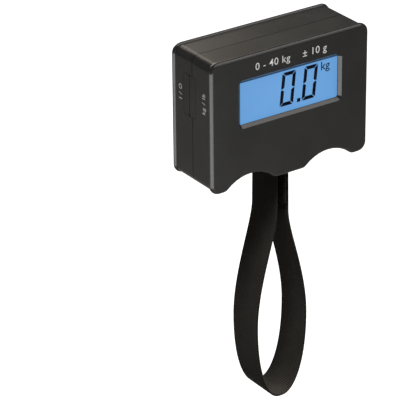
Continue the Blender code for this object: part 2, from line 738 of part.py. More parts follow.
def make_display():
    half_x = WINDOW_WIDTH / 2 + PANE_LAP
    half_z = WINDOW_HEIGHT / 2 + PANE_LAP
    pane_ys = (PANE_FRONT, PANE_FRONT + PANE_THICKNESS)
    pane = box("display_window", (-half_x, half_x), pane_ys, (WINDOW_Z - half_z, WINDOW_Z + half_z))
    finish(pane, (0.9, 0.95, 1.0), 0.05, transmission=0.9)

    glass_xs = (-GLASS_HALF_WIDTH, GLASS_HALF_WIDTH)
    glass_ys = (GLASS_FRONT, GLASS_FRONT + GLASS_THICKNESS)
    glass = box("lcd_glass", glass_xs, glass_ys, (GLASS_BOTTOM, GLASS_TOP))
    finish(glass, (0.16, 0.36, 0.67), 0.15)

    half_light = WINDOW_WIDTH / 2 + BACKLIGHT_LAP
    light_ys = (BACKLIGHT_FRONT, BACKLIGHT_FRONT + BACKLIGHT_THICKNESS)
    light_zs = (BACKLIGHT_BOTTOM, -WINDOW_TOP + BACKLIGHT_LAP)
    finish(box("backlight_panel", (-half_light, half_light), light_ys, light_zs), (0.5, 0.7, 0.95), 0.3)

    half_zebra = ZEBRA_LENGTH / 2
    zebra_top = BACKLIGHT_BOTTOM - TOUCH_GAP
    zebra = box("zebra_connector", (-half_zebra, half_zebra), light_ys, (zebra_top - ZEBRA_HEIGHT, zebra_top))
    finish(zebra, (0.75, 0.35, 0.45), 0.7)

    inner_x = GLASS_HALF_WIDTH + TOUCH_GAP
    inner_zs = (GLASS_BOTTOM - TOUCH_GAP, GLASS_TOP + TOUCH_GAP)
    outer_x = inner_x + FRAME_WALL
    outer_zs = (inner_zs[0] - FRAME_WALL, inner_zs[1] + FRAME_WALL)
    frame_ys = (GLASS_FRONT, BOARD_FRONT - TOUCH_GAP)
    frame = box("lcd_frame", (-outer_x, outer_x), frame_ys, outer_zs)
    hollow_ys = (GLASS_FRONT - OVERCUT, BOARD_FRONT + OVERCUT)
    cut(frame, box("lcd_frame_hollow", (-inner_x, inner_x), hollow_ys, inner_zs))
    finish(frame, (0.75, 0.75, 0.72), 0.5)


def make_main_board():
    bottom = GLASS_BOTTOM - TOUCH_GAP - FRAME_WALL - BOARD_BELOW_FRAME
    top = -CASE_SCREW_TOP - CASE_BOSS_RADIUS - TOUCH_GAP
    board_xs = (-BOARD_HALF_WIDTH, BOARD_HALF_WIDTH)
    board = box("main_board", board_xs, (BOARD_FRONT, BOARD_BACK), (bottom, top))
    hole = SCREW_RADIUS + TOUCH_GAP
    for number, (x, z) in enumerate(board_screw_places(), 1):
        ends = (BOARD_FRONT - OVERCUT, BOARD_BACK + OVERCUT)
        cut(board, cylinder("board_hole", hole, "y", *ends, (x, 0, z)))
        screw_piece(
            f"board_screw_{number}",
            SCREW_HEAD_RADIUS,
            SCREW_HEAD,
            SCREW_RADIUS,
            SHORT_SCREW_LENGTH,
            "y",
            (x, BOARD_BACK + TOUCH_GAP, z),
        )
    finish(board, (0.02, 0.16, 0.06), 0.4)

    front = BOARD_BACK + TOUCH_GAP
    dome = [
        (CHIP_RADIUS * sin(radians(angle)), CHIP_HEIGHT * cos(radians(angle)))
        for angle in (0, 22.5, 45, 67.5, 90)
    ]
    chip = turned("chip_on_board", [*dome, (0.0, 0.0)], "y", (CHIP_X, front, CHIP_Z))
    finish(chip, (0.01, 0.01, 0.012), 0.25)

    long, deep, tall = CRYSTAL_SIZE
    crystal_xs = (CRYSTAL_X - long / 2, CRYSTAL_X + long / 2)
    crystal_zs = (CRYSTAL_Z - tall / 2, CRYSTAL_Z + tall / 2)
    crystal = box("crystal", crystal_xs, (front, front + deep), crystal_zs)
    steel(round_edges(crystal, tall * 0.4, 2, along=1))

    capacitor_ends = (front, front + CAPACITOR_HEIGHT)
    capacitor_place = (CAPACITOR_X, 0, CAPACITOR_Z)
    capacitor = cylinder("filter_capacitor", CAPACITOR_RADIUS, "y", *capacitor_ends, capacitor_place)
    finish(capacitor, (0.03, 0.04, 0.16), 0.35)


# ---------------------------------------------------------------- buttons


def make_button(name, side, switch_name, plunger_name):
    """One side button with its switch. side is +1 for the rear button and -1 for the front one."""
    near = BUTTON_PAIR_Y + side * TOUCH_GAP / 2
    far = near + side * BUTTON_WIDTH
    middle_y = (near + far) / 2
    switch_z = BUTTON_Z + side * SWITCH_STEP_Z
    half_height = BUTTON_HEIGHT / 2
    cap_zs = (BUTTON_Z - half_height, BUTTON_Z + half_height)
    cap = box(name, (-SIDE_X, BUTTON_BACK_X - BUTTON_FLANGE / 2), sorted((near, far)), cap_zs)
    round_edges(cap, BUTTON_CORNER, 3, along=0)
    flange_ys = sorted((near + side * TOUCH_GAP / 8, far + side * (BUTTON_LAP + RUN_GAP)))
    reach = BUTTON_LAP + RUN_GAP
    flange_zs = (cap_zs[0] - reach, cap_zs[1] + reach)
    flange = box(name + "_flange", (BUTTON_BACK_X - BUTTON_FLANGE, BUTTON_BACK_X), flange_ys, flange_zs)
    stem_ends = (BUTTON_BACK_X - BUTTON_FLANGE / 2, BUTTON_BACK_X + BUTTON_STEM)
    stem = cylinder(name + "_stem", BUTTON_STEM_RADIUS, "x", *stem_ends, (0, middle_y, switch_z))
    join(cap, flange, stem)
    set_origin(cap, (-SIDE_X, middle_y, BUTTON_Z))
    black_plastic(cap)

    half = SWITCH_SIDE / 2
    switch_xs = (SWITCH_FRONT_X, SWITCH_FRONT_X + SWITCH_BODY)
    switch = box(switch_name, switch_xs, (middle_y - half, middle_y + half), (switch_z - half, switch_z + half))
    well_end = SWITCH_FRONT_X + PLUNGER_IN + BUTTON_TRAVEL + RUN_GAP / 2
    well_ends = (SWITCH_FRONT_X - OVERCUT, well_end)
    well = cylinder(switch_name + "_well", PLUNGER_RADIUS + RUN_GAP, "x", *well_ends, (0, middle_y, switch_z))
    cut(switch, well)
    finish(switch, (0.05, 0.05, 0.05), 0.5)

    plunger_ends = (SWITCH_FRONT_X - PLUNGER_OUT, SWITCH_FRONT_X + PLUNGER_IN)
    plunger = cylinder(plunger_name, PLUNGER_RADIUS, "x", *plunger_ends, (0, middle_y, switch_z))
    finish(plunger, (0.55, 0.1, 0.08), 0.5)
    set_origin(plunger, (SWITCH_FRONT_X, middle_y, switch_z))
    attach(plunger, cap)


def make_buttons():
    make_button("on_off_button", 1, "on_off_switch", "on_off_plunger")
    make_button("unit_tare_button", -1, "unit_tare_switch", "unit_tare_plunger")
    board_xs = (DAUGHTER_X, DAUGHTER_X + DAUGHTER_THICKNESS)
    board_ys = (BOARD_BACK + TOUCH_GAP, BOARD_BACK + TOUCH_GAP + DAUGHTER_DEPTH)
    board_top = BUTTON_Z + DAUGHTER_HEIGHT / 2 - DAUGHTER_DROP
    board_zs = (board_top - DAUGHTER_HEIGHT, board_top)
    finish(box("button_board", board_xs, board_ys, board_zs), (0.02, 0.16, 0.06), 0.4)


# ---------------------------------------------------------------- weighing beam and strap


def make_load_cell():
    half_depth = BEAM_DEPTH / 2
    beam_xs = (BEAM_FIXED_END, BEAM_FREE_END)
    beam = box("load_cell", beam_xs, (-half_depth, half_depth), (BEAM_BOTTOM, BEAM_TOP))
    middle_z = (BEAM_BOTTOM + BEAM_TOP) / 2
    half_span = BEAM_EYE_SPACING / 2
    ends = (-half_depth - OVERCUT, half_depth + OVERCUT)
    slot_zs = (middle_z - BEAM_EYE_SLOT / 2, middle_z + BEAM_EYE_SLOT / 2)
    slot = box("eye_slot", (BEAM_EYE_X - half_span, BEAM_EYE_X + half_span), ends, slot_zs)
    for x in (BEAM_EYE_X - half_span, BEAM_EYE_X + half_span):
        join(slot, cylinder("eye_bore", BEAM_EYE_RADIUS, "y", *ends, (x, 0, middle_z), ROUND_STEPS))
    hole = BEAM_BOLT_RADIUS + TOUCH_GAP
    cut(beam, slot)
    for x in FIXED_BOLT_X:
        bottom = BEAM_TOP - BEAM_BOLT_LENGTH
        cut(beam, cylinder("fixed_hole", hole, "z", bottom, BEAM_TOP + OVERCUT, (x, 0, 0)))
    top = BEAM_BOTTOM + BEAM_BOLT_LENGTH
    cut(beam, cylinder("free_hole", hole, "z", BEAM_BOTTOM - OVERCUT, top, (0, 0, 0)))
    finish(beam, (0.72, 0.73, 0.74), 0.35, 1.0)

    long, deep, tall = GAUGE_COVER_SIZE
    cover_xs = (BEAM_EYE_X - long / 2, BEAM_EYE_X + long / 2)
    over = BEAM_TOP + TOUCH_GAP
    under = BEAM_BOTTOM - TOUCH_GAP
    for name, zs in (("gauge_cover_top", (over, over + tall)), ("gauge_cover_bottom", (under - tall, under))):
        cover = box(name, cover_xs, (-deep / 2, deep / 2), zs)
        round_edges(cover, deep * 0.2, 2, along=2)
        finish(cover, (0.85, 0.85, 0.82), 0.6)


def make_load_bracket():
    low = BEAM_TOP + TOUCH_GAP
    back = INNER_REAR_Y - BRACKET_BOSS - TOUCH_GAP
    bracket_xs = (BRACKET_LEFT, BRACKET_LEFT + BRACKET_WIDTH)
    foot = box("load_bracket", bracket_xs, (BRACKET_FRONT, back), (low, low + BRACKET_THICKNESS))
    leg_ys = (back - BRACKET_THICKNESS, back)
    leg_xs = (bracket_xs[0] + OVERCUT / 10, bracket_xs[1] - OVERCUT / 10)
    leg = box("load_bracket_leg", leg_xs, (leg_ys[0], leg_ys[1] - OVERCUT / 10), (low + OVERCUT / 10, BRACKET_TOP))
    join(foot, leg)
    bolt_hole = BEAM_BOLT_RADIUS + TOUCH_GAP
    over = low + BRACKET_THICKNESS
    for number, x in enumerate(FIXED_BOLT_X, 1):
        cut(foot, cylinder("bolt_hole", bolt_hole, "z", low - OVERCUT, over + OVERCUT, (x, 0, 0)))
        screw_piece(
            f"cell_screw_{number}",
            BEAM_BOLT_HEAD_RADIUS,
            BEAM_BOLT_HEAD,
            BEAM_BOLT_RADIUS,
            BEAM_BOLT_LENGTH,
            "z",
            (x, 0, over + TOUCH_GAP),
        )
    hole = SCREW_RADIUS + TOUCH_GAP
    for number, x in enumerate(BRACKET_SCREW_X, 1):
        hole_ends = (leg_ys[0] - OVERCUT, leg_ys[1] + OVERCUT)
        cut(foot, cylinder("leg_hole", hole, "y", *hole_ends, (x, 0, BRACKET_SCREW_Z)))
        screw_piece(
            f"bracket_screw_{number}",
            SCREW_HEAD_RADIUS,
            SCREW_HEAD,
            SCREW_RADIUS,
            SHORT_SCREW_LENGTH,
            "y",
            (x, leg_ys[0] - TOUCH_GAP, BRACKET_SCREW_Z),
            flip=True,
        )
    finish(foot, (0.62, 0.62, 0.6), 0.4, 1.0)


def make_yoke():
    """The steel yoke under the beam's free end, with the pin that the strap turns on."""
    half_x = YOKE_WIDTH / 2
    top = BEAM_BOTTOM - TOUCH_GAP
    web_bottom = top - YOKE_THICKNESS
    yoke_xs = (-half_x, half_x)
    outer_ys = (-YOKE_OUTER_Y, YOKE_OUTER_Y)
    yoke = box("strap_yoke", yoke_xs, outer_ys, (PIN_Z - YOKE_REACH, top))
    throat_xs = (-half_x - OVERCUT, half_x + OVERCUT)
    throat_zs = (PIN_Z - YOKE_REACH - OVERCUT, web_bottom)
    cut(yoke, box("yoke_throat", throat_xs, (-YOKE_INNER_Y, YOKE_INNER_Y), throat_zs))
    pin_hole = PIN_RADIUS + TOUCH_GAP
    hole_ends = (-YOKE_OUTER_Y - OVERCUT, YOKE_OUTER_Y + OVERCUT)
    cut(yoke, cylinder("pin_hole", pin_hole, "y", *hole_ends, (0, 0, PIN_Z), ROUND_STEPS))
    bolt_hole = BEAM_BOLT_RADIUS + TOUCH_GAP
    cut(yoke, cylinder("yoke_bolt_hole", bolt_hole, "z", web_bottom - OVERCUT, top + OVERCUT, (0, 0, 0)))
    finish(yoke, (0.62, 0.62, 0.6), 0.35, 1.0)

    screw_piece(
        "yoke_screw",
        BEAM_BOLT_HEAD_RADIUS,
        BEAM_BOLT_HEAD,
        BEAM_BOLT_RADIUS,
        BEAM_BOLT_LENGTH,
        "z",
        (0, 0, web_bottom - TOUCH_GAP),
        flip=True,
    )

    neck_start = YOKE_OUTER_Y + TOUCH_GAP / 2
    clip_front = YOKE_OUTER_Y + TOUCH_GAP
    neck_end = clip_front + CLIP_THICKNESS + GROOVE_GAP
    pin_end = neck_end + 2 * CLIP_THICKNESS
    head_back = -YOKE_OUTER_Y - TOUCH_GAP
    pin_profile = [
        (0.0, pin_end),
        (PIN_RADIUS, pin_end),
        (PIN_RADIUS, neck_end),
        (PIN_NECK_RADIUS, neck_end),
        (PIN_NECK_RADIUS, neck_start),
        (PIN_RADIUS, neck_start),
        (PIN_RADIUS, head_back),
        (PIN_HEAD_RADIUS, head_back),
        (PIN_HEAD_RADIUS, head_back - PIN_HEAD),
        (0.0, head_back - PIN_HEAD),
    ]
    steel(turned("strap_pin", pin_profile, "y", (0, 0, PIN_Z), ROUND_STEPS))

    clip_hole = PIN_NECK_RADIUS + GROOVE_GAP
    clip_place = (0, 0, PIN_Z)
    clip_ends = (clip_front, clip_front + CLIP_THICKNESS)
    clip = cylinder("pin_clip", CLIP_RADIUS, "y", *clip_ends, clip_place, ROUND_STEPS)
    bore_ends = (clip_front - OVERCUT, clip_front + OVERCUT)
    bore = cylinder("clip_bore", clip_hole, "y", *bore_ends, clip_place, ROUND_STEPS)
    mouth = box("clip_mouth", (-clip_hole, clip_hole), bore_ends, (PIN_Z - 2 * CLIP_RADIUS, PIN_Z))
    steel(cut(clip, bore, mouth))


def strap_path():
    """The strap's middle line in X and Z, once round from the left of the pin."""
    over_pin = arc((0.0, PIN_Z), STRAP_PATH_RADIUS, 180, 0, FILLET_STEPS * 4)
    neck = (STRAP_NECK_HALF, STRAP_NECK_Z)
    widest = (STRAP_WIDEST_HALF, STRAP_WIDEST_Z)
    bottom = (STRAP_BOTTOM_HALF_FLAT, STRAP_BOTTOM_Z)
    spread = bezier(
        neck,
        (neck[0], neck[1] - STRAP_NECK_EASE),
        (widest[0], widest[1] + STRAP_WIDEST_RISE),
        widest,
    )
    close = bezier(
        widest,
        (widest[0], widest[1] - STRAP_WIDEST_FALL),
        (bottom[0] + STRAP_BOTTOM_EASE, bottom[1]),
        bottom,
    )
    right = spread + close[1:]
    left = [(-x, z) for x, z in reversed(right)]
    return over_pin + right + left


def make_strap():
    strap = strip("load_strap", strap_path(), STRAP_WIDTH, STRAP_THICKNESS, cyclic=True)
    outer_x = STRAP_PATH_RADIUS
    inner_x = STRAP_PATH_RADIUS - STRAP_THICKNESS * 1.5
    half = STRAP_WIDTH / 2 - OVERCUT / 10
    splice = box("strap_splice", (inner_x, outer_x), (-half, half), (SPLICE_BOTTOM, SPLICE_TOP))
    join(strap, splice)
    set_origin(strap, (0, 0, PIN_Z))
    finish(strap, (0.012, 0.012, 0.014), 0.85)


def make_strap_guide():
    """A smooth ring that lines the slot, with a flange inside that keeps it from falling out."""
    outer_x = GUIDE_HALF_OPENING + GUIDE_WALL
    outer_y = GUIDE_INNER_Y + GUIDE_WALL
    flange_bottom = INNER_FLOOR_Z + TOUCH_GAP
    flange_top = flange_bottom + GUIDE_FLANGE_THICKNESS
    guide_zs = (FLOOR_Z, flange_top - OVERCUT / 10)
    guide = box("strap_guide", (-outer_x, outer_x), (-outer_y, outer_y), guide_zs)
    flange_xs = (-outer_x - GUIDE_FLANGE_ACROSS, outer_x + GUIDE_FLANGE_ACROSS)
    flange_ys = (-outer_y - GUIDE_FLANGE_ALONG, outer_y + GUIDE_FLANGE_ALONG)
    join(guide, box("guide_flange", flange_xs, flange_ys, (flange_bottom, flange_top)))
    opening_xs = (-GUIDE_HALF_OPENING, GUIDE_HALF_OPENING)
    opening_zs = (FLOOR_Z - OVERCUT, flange_top + OVERCUT)
    cut(guide, box("guide_opening", opening_xs, (-GUIDE_INNER_Y, GUIDE_INNER_Y), opening_zs))
    black_plastic(guide)


# ---------------------------------------------------------------- battery


def holder_screw_heights():
    return (CELL_Z + HOLDER_SCREW_REACH, CELL_Z - HOLDER_SCREW_REACH)


def make_battery():
    place = (CELL_X, 0, CELL_Z)
    edge = CELL_THICKNESS * 0.12
    cell_profile = [
        (0.0, CELL_BACK_Y),
        (CELL_RADIUS - edge, CELL_BACK_Y),
        (CELL_RADIUS, CELL_BACK_Y - edge),
        (CELL_RADIUS, CELL_FRONT_Y + 3 * edge),
        (CELL_RADIUS - 4 * edge, CELL_FRONT_Y),
        (0.0, CELL_FRONT_Y),
    ]
    steel(turned("battery_cell", cell_profile, "y", place, ROUND_STEPS * 2))

    ends = (HOLDER_FRONT_Y, CELL_BACK_Y - TOUCH_GAP)
    holder = cylinder("battery_holder", HOLDER_RADIUS, "y", *ends, place, ROUND_STEPS * 2)
    ear_ends = (CELL_BACK_Y - TOUCH_GAP - HOLDER_FLOOR, CELL_BACK_Y - TOUCH_GAP - OVERCUT / 10)
    ear_reach = HOLDER_SCREW_REACH + HOLDER_EAR / 2
    ear_xs = (CELL_X - HOLDER_EAR, CELL_X + HOLDER_EAR)
    ears = box("holder_ears", ear_xs, ear_ends, (CELL_Z - ear_reach, CELL_Z + ear_reach))
    join(holder, ears)
    bore_ends = (HOLDER_FLOOR_Y, CELL_BACK_Y + OVERCUT)
    cut(holder, cylinder("holder_bore", HOLDER_BORE_RADIUS, "y", *bore_ends, place, ROUND_STEPS * 2))
    gap = CONTACT_WIDTH / 2 + TOUCH_GAP
    slot_reach = HOLDER_RADIUS + OVERCUT
    slot_xs = (CELL_X - slot_reach, CELL_X + slot_reach)
    cut(holder, box("holder_slots", slot_xs, (HOLDER_FLOOR_Y + OVERCUT / 10, bore_ends[1]), (CELL_Z - gap, CELL_Z + gap)))
    hole = SCREW_RADIUS + TOUCH_GAP
    for number, z in enumerate(holder_screw_heights(), 1):
        hole_ends = (ear_ends[0] - OVERCUT, ear_ends[1] + OVERCUT)
        cut(holder, cylinder("ear_hole", hole, "y", *hole_ends, (CELL_X, 0, z)))
        screw_piece(
            f"holder_screw_{number}",
            SCREW_HEAD_RADIUS,
            SCREW_HEAD,
            SCREW_RADIUS,
            SHORT_SCREW_LENGTH,
            "y",
            (CELL_X, ear_ends[0] - TOUCH_GAP, z),
            flip=True,
        )
    black_plastic(holder)

    left_tab = CELL_X - HOLDER_RADIUS - CONTACT_TAB
    right_tab = CELL_X + HOLDER_RADIUS + CONTACT_TAB
    negative_path = [(left_tab, CONTACT_Y), (CELL_X + CELL_RADIUS / 3, CONTACT_Y)]
    negative = strip(
        "negative_contact", negative_path, CONTACT_WIDTH, CONTACT_THICKNESS, flat=False, place=(0, 0, CELL_Z)
    )
    finish(negative, (0.75, 0.7, 0.55), 0.3, 1.0)
    side_x = CELL_X + CELL_RADIUS + TOUCH_GAP + CONTACT_THICKNESS / 2
    positive_path = [(side_x, CELL_BACK_Y - CELL_GAP), (side_x, CONTACT_Y), (right_tab, CONTACT_Y)]
    positive = strip(
        "positive_contact", positive_path, CONTACT_WIDTH, CONTACT_THICKNESS, flat=False, place=(0, 0, CELL_Z)
    )
    finish(positive, (0.75, 0.7, 0.55), 0.3, 1.0)
    return left_tab, right_tab


def make_lid():
    """The quarter-turn lid with its two lugs and coin slot, and the seal in its groove."""
    place = (CELL_X, 0, CELL_Z)
    seat = REAR_Y - LID_THICKNESS
    groove = SEAL_MIDDLE_RADIUS - SEAL_SECTION_RADIUS - TOUCH_GAP
    groove_top = seat - TOUCH_GAP - GROOVE_GAP
    groove_bottom = groove_top - 2 * SEAL_SECTION_RADIUS - 2 * GROOVE_GAP
    profile = [
        (0.0, REAR_Y),
        (LID_RADIUS - LID_THICKNESS / 4, REAR_Y),
        (LID_RADIUS, REAR_Y - LID_THICKNESS / 4),
        (LID_RADIUS, seat),
        (LID_SPIGOT_RADIUS, seat),
        (LID_SPIGOT_RADIUS, groove_top),
        (groove, groove_top),
        (groove, groove_bottom),
        (LID_SPIGOT_RADIUS, groove_bottom),
        (LID_SPIGOT_RADIUS, LID_SPIGOT_END),
        (0.0, LID_SPIGOT_END),
    ]
    lid = turned("battery_lid", profile, "y", place, ROUND_STEPS * 2)
    lug_ys = (LID_SPIGOT_END + OVERCUT / 20, LID_SPIGOT_END + LID_LUG_THICKNESS)
    half = LID_LUG_WIDTH / 2
    lug_xs = (CELL_X - LID_LUG_RADIUS, CELL_X + LID_LUG_RADIUS)
    lugs = box("lid_lugs", lug_xs, lug_ys, (CELL_Z - half, CELL_Z + half))
    long, wide, deep = COIN_SLOT
    slot_ys = (REAR_Y - deep, REAR_Y + OVERCUT)
    slot = box("coin_slot", (CELL_X - long / 2, CELL_X + long / 2), slot_ys, (CELL_Z - wide / 2, CELL_Z + wide / 2))
    black_plastic(cut(join(lid, lugs), slot))

    middle = (groove_top + groove_bottom) / 2
    section = [
        (
            SEAL_MIDDLE_RADIUS + SEAL_SECTION_RADIUS * sin(radians(angle)),
            middle + SEAL_SECTION_RADIUS * cos(radians(angle)),
        )
        for angle in range(0, 360, 60)
    ]
    seal = turned("lid_seal", section, "y", place, ROUND_STEPS * 2, closed=True)
    finish(seal, (0.02, 0.02, 0.02), 0.8)
    attach(seal, lid)


def make_leads(left_tab, right_tab):
    """The wires from the battery contacts and the gauges to the main board."""
    board = BOARD_BACK + TOUCH_GAP + LEAD_RADIUS
    tab_y = CONTACT_Y - CONTACT_THICKNESS / 2 - TOUCH_GAP - LEAD_RADIUS
    lead_low = CELL_Z + CONTACT_WIDTH / 4
    positive_x = right_tab - LEAD_RADIUS * 2
    positive = lead(
        "battery_lead_positive",
        [
            (positive_x, tab_y, CELL_Z),
            (positive_x, tab_y, lead_low + 0.0060),
            (positive_x - 0.0020, tab_y - 0.0030, lead_low + 0.0085),
            (positive_x - 0.0050, board + 0.0010, lead_low + 0.0090),
            (positive_x - 0.0080, board, lead_low + 0.0090),
        ],
    )
    finish(positive, (0.45, 0.02, 0.02), 0.5)
    negative_x = left_tab + LEAD_RADIUS * 2
    negative = lead(
        "battery_lead_negative",
        [
            (negative_x, tab_y, CELL_Z),
            (negative_x, tab_y - 0.0010, lead_low + 0.0020),
            (negative_x + 0.0015, tab_y - 0.0040, lead_low + 0.0040),
            (negative_x + 0.0040, board + 0.0010, lead_low + 0.0046),
            (negative_x + 0.0070, board, lead_low + 0.0046),
        ],
    )
    finish(negative, (0.015, 0.015, 0.015), 0.5)
    gauge_top = BEAM_TOP + TOUCH_GAP + GAUGE_COVER_SIZE[2] + TOUCH_GAP + LEAD_RADIUS
    cable = lead(
        "load_cell_cable",
        [
            (BEAM_EYE_X, 0.0, gauge_top),
            (BEAM_EYE_X, -0.0010, gauge_top + 0.0030),
            (BEAM_EYE_X - 0.0006, -0.0030, gauge_top + 0.0065),
            (BEAM_EYE_X - 0.0010, board, gauge_top + 0.0090),
            (BEAM_EYE_X - 0.0010, board, gauge_top + 0.0120),
        ],
    )
    finish(cable, (0.5, 0.5, 0.48), 0.5)


clear_scene()
PIECES = new_collection("digital_luggage_scale")
CUTTERS = new_collection("cutters")
CUTTERS.hide_render = True
make_front_cover()
make_rear_cover()
make_case_screws()
make_display()
make_main_board()
make_buttons()
make_load_cell()
make_load_bracket()
make_yoke()
make_strap()
make_strap_guide()
TABS = make_battery()
make_lid()
make_leads(*TABS)
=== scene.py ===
"""Digital luggage scale: the surfaces, markings, webbing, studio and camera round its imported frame.

Metres, +Z up. The origin is the middle of the plane across the tops of the case's two flanges.
X runs along the display, the display looks toward -Y, and the strap hangs toward -Z.
"""

import logging
from dataclasses import dataclass
from enum import Enum
from functools import cache
from math import cos, hypot, pi, radians, sin
from typing import Iterable, Optional, Sequence

import bmesh
import bpy
from mathutils import Matrix, Vector

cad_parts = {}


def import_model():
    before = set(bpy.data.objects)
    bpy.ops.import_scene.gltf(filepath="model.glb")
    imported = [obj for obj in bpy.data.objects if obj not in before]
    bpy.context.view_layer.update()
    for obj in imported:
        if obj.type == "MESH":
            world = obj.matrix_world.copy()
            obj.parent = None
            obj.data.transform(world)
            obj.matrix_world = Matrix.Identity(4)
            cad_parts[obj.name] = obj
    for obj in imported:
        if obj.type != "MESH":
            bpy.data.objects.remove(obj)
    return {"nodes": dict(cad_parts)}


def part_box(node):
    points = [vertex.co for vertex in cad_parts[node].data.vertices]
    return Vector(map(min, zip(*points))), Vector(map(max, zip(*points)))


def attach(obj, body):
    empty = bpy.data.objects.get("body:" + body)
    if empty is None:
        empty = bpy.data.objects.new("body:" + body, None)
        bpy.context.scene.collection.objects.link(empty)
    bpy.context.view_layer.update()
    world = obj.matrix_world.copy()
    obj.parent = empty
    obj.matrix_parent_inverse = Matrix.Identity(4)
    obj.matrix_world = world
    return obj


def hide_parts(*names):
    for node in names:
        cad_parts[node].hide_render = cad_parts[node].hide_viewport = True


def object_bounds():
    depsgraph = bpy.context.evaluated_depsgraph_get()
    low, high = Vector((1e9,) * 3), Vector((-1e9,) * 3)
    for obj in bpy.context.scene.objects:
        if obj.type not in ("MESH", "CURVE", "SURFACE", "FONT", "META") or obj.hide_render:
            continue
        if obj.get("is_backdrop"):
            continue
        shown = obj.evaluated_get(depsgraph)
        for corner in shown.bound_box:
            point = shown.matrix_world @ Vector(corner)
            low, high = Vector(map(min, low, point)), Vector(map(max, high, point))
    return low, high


LOG = logging.getLogger("luggage_scale")

Color = tuple[float, float, float]
Point = tuple[float, float, float]
Flat = tuple[float, float]
Material = bpy.types.Material
Mesh = bpy.types.Mesh
Piece = bpy.types.Object
Socket = bpy.types.NodeSocket
Sockets = Sequence[Socket]
Tree = bpy.types.NodeTree
Ring = tuple[Flat, Flat, float, float]

RIGHT = (1, 0, 0)
UP = (0, 0, 1)
WEBBING_MAP = "webbing_lay"
STITCH_RINGS = 5
STITCH_SIDES = 6


class Body(Enum):
    """The bodies that added pieces ride on."""

    CASE = "case"
    STRAP = "strap"


class Slot(Enum):
    """The record's material slots, one handed with each added piece; nothing reads them."""

    WEBBING = "webbing"
    LCD = "lcd_panel"
    PRINT = "white_plastic"
    CASE = "case_plastic"


# ---------------------------------------------------------------- node trees


class Wiring:
    """Short calls for adding nodes to one material's or one group's tree and joining them."""

    def __init__(self, tree: Tree) -> None:
        """Works on the tree given."""
        self.tree = tree
        self.column = 0

    def add(self, kind: str, **settings: object) -> bpy.types.Node:
        """Adds a node.

        Args:
            kind: The node's Blender type.
            settings: Properties to set on it.

        Returns:
            The new node.
        """
        node = self.tree.nodes.new(kind)
        self.column += 1
        node.location = (-180 * (self.column % 12), -220 * (self.column // 12))
        for name, value in settings.items():
            setattr(node, name, value)
        return node

    def put(self, socket: Socket, value: object) -> None:
        """Links another socket into this one, or sets a plain value on it.

        Args:
            socket: The input to feed.
            value: A socket to link, or a plain value.
        """
        if isinstance(value, Socket):
            self.tree.links.new(value, socket)
        else:
            socket.default_value = value

    def math(self, operation: str, *values: object) -> Socket:
        """A Math node of that operation on sockets or numbers, and its result.

        Args:
            operation: What the node does.
            values: Its sockets or numbers.

        Returns:
            The result's socket.
        """
        node = self.add("ShaderNodeMath", operation=operation)
        for socket, value in zip(node.inputs, values):
            self.put(socket, value)
        return node.outputs[0]

    def times(self, value: object, by: object) -> Socket:
        """The product of two sockets or numbers."""
        return self.math("MULTIPLY", value, by)

    def plus(self, value: object, more: object) -> Socket:
        """The sum of two sockets or numbers."""
        return self.math("ADD", value, more)

    def line(self, value: object, slope: object, start: object) -> Socket:
        """The value times a slope, plus a start."""
        return self.math("MULTIPLY_ADD", value, slope, start)

    def scaled(self, vector: object, by: object) -> Socket:
        """The vector multiplied by a number or, part by part, by another vector.

        Args:
            vector: What is multiplied.
            by: A number, a number's socket, or a vector.

        Returns:
            The result's socket.
        """
        plain = isinstance(by, (int, float)) or isinstance(by, bpy.types.NodeSocketFloat)
        node = self.add("ShaderNodeVectorMath", operation="SCALE" if plain else "MULTIPLY")
        self.put(node.inputs[0], vector)
        self.put(node.inputs["Scale"] if plain else node.inputs[1], by)
        return node.outputs[0]

    def remap(
        self, value: object, low: object, high: object, to_low: float = 0.0, to_high: float = 1.0
    ) -> Socket:
        """The value moved from one range to another and held inside it.

        Args:
            value: What is remapped.
            low: The start of its own range.
            high: The end of its own range.
            to_low: The result at the start.
            to_high: The result at the end.

        Returns:
            The Map Range node's result.
        """
        node = self.add("ShaderNodeMapRange", clamp=True)
        for socket, given in zip(node.inputs, (value, low, high, to_low, to_high)):
            self.put(socket, given)
        return node.outputs[0]

    def noise(self, vector: object, scale: object, detail: float = 2.0, rough: float = 0.5) -> Socket:
        """A noise value at the vector, about 0.5 in the middle.

        Args:
            vector: Where it is read.
            scale: How fine it is.
            detail: How many finer layers it has.
            rough: How strong they are.

        Returns:
            The noise's socket.
        """
        node = self.add("ShaderNodeTexNoise")
        given = {"Vector": vector, "Scale": scale, "Detail": detail, "Roughness": rough}
        for name, value in given.items():
            self.put(node.inputs[name], value)
        return node.outputs[0]

    def mix(self, share: object, first: object, second: object) -> Socket:
        """Two colours mixed by a share.

        Args:
            share: How much of the second there is.
            first: The first colour.
            second: The second colour.

        Returns:
            The mixed colour's socket.
        """
        node = self.add("ShaderNodeMix", data_type="RGBA")
        self.put(node.inputs["Factor"], share)
        for socket, value in ((node.inputs[6], first), (node.inputs[7], second)):
            self.put(socket, (*value, 1.0) if isinstance(value, tuple) and len(value) == 3 else value)
        return node.outputs[2]

    def bump(self, height: object, strength: float, distance: float) -> Socket:
        """A normal raised by the height, where distance is the height's real size in metres.

        Args:
            height: The height's socket.
            strength: How much of it counts.
            distance: Its real size in metres.

        Returns:
            The normal's socket.
        """
        node = self.add("ShaderNodeBump")
        node.inputs["Strength"].default_value = strength
        node.inputs["Distance"].default_value = distance
        self.put(node.inputs["Height"], height)
        return node.outputs[0]

    def separate(self, vector: object) -> Sockets:
        """The X, Y and Z of a vector.

        Args:
            vector: The vector's socket.

        Returns:
            Its three sockets.
        """
        node = self.add("ShaderNodeSeparateXYZ")
        self.put(node.inputs[0], vector)
        return node.outputs


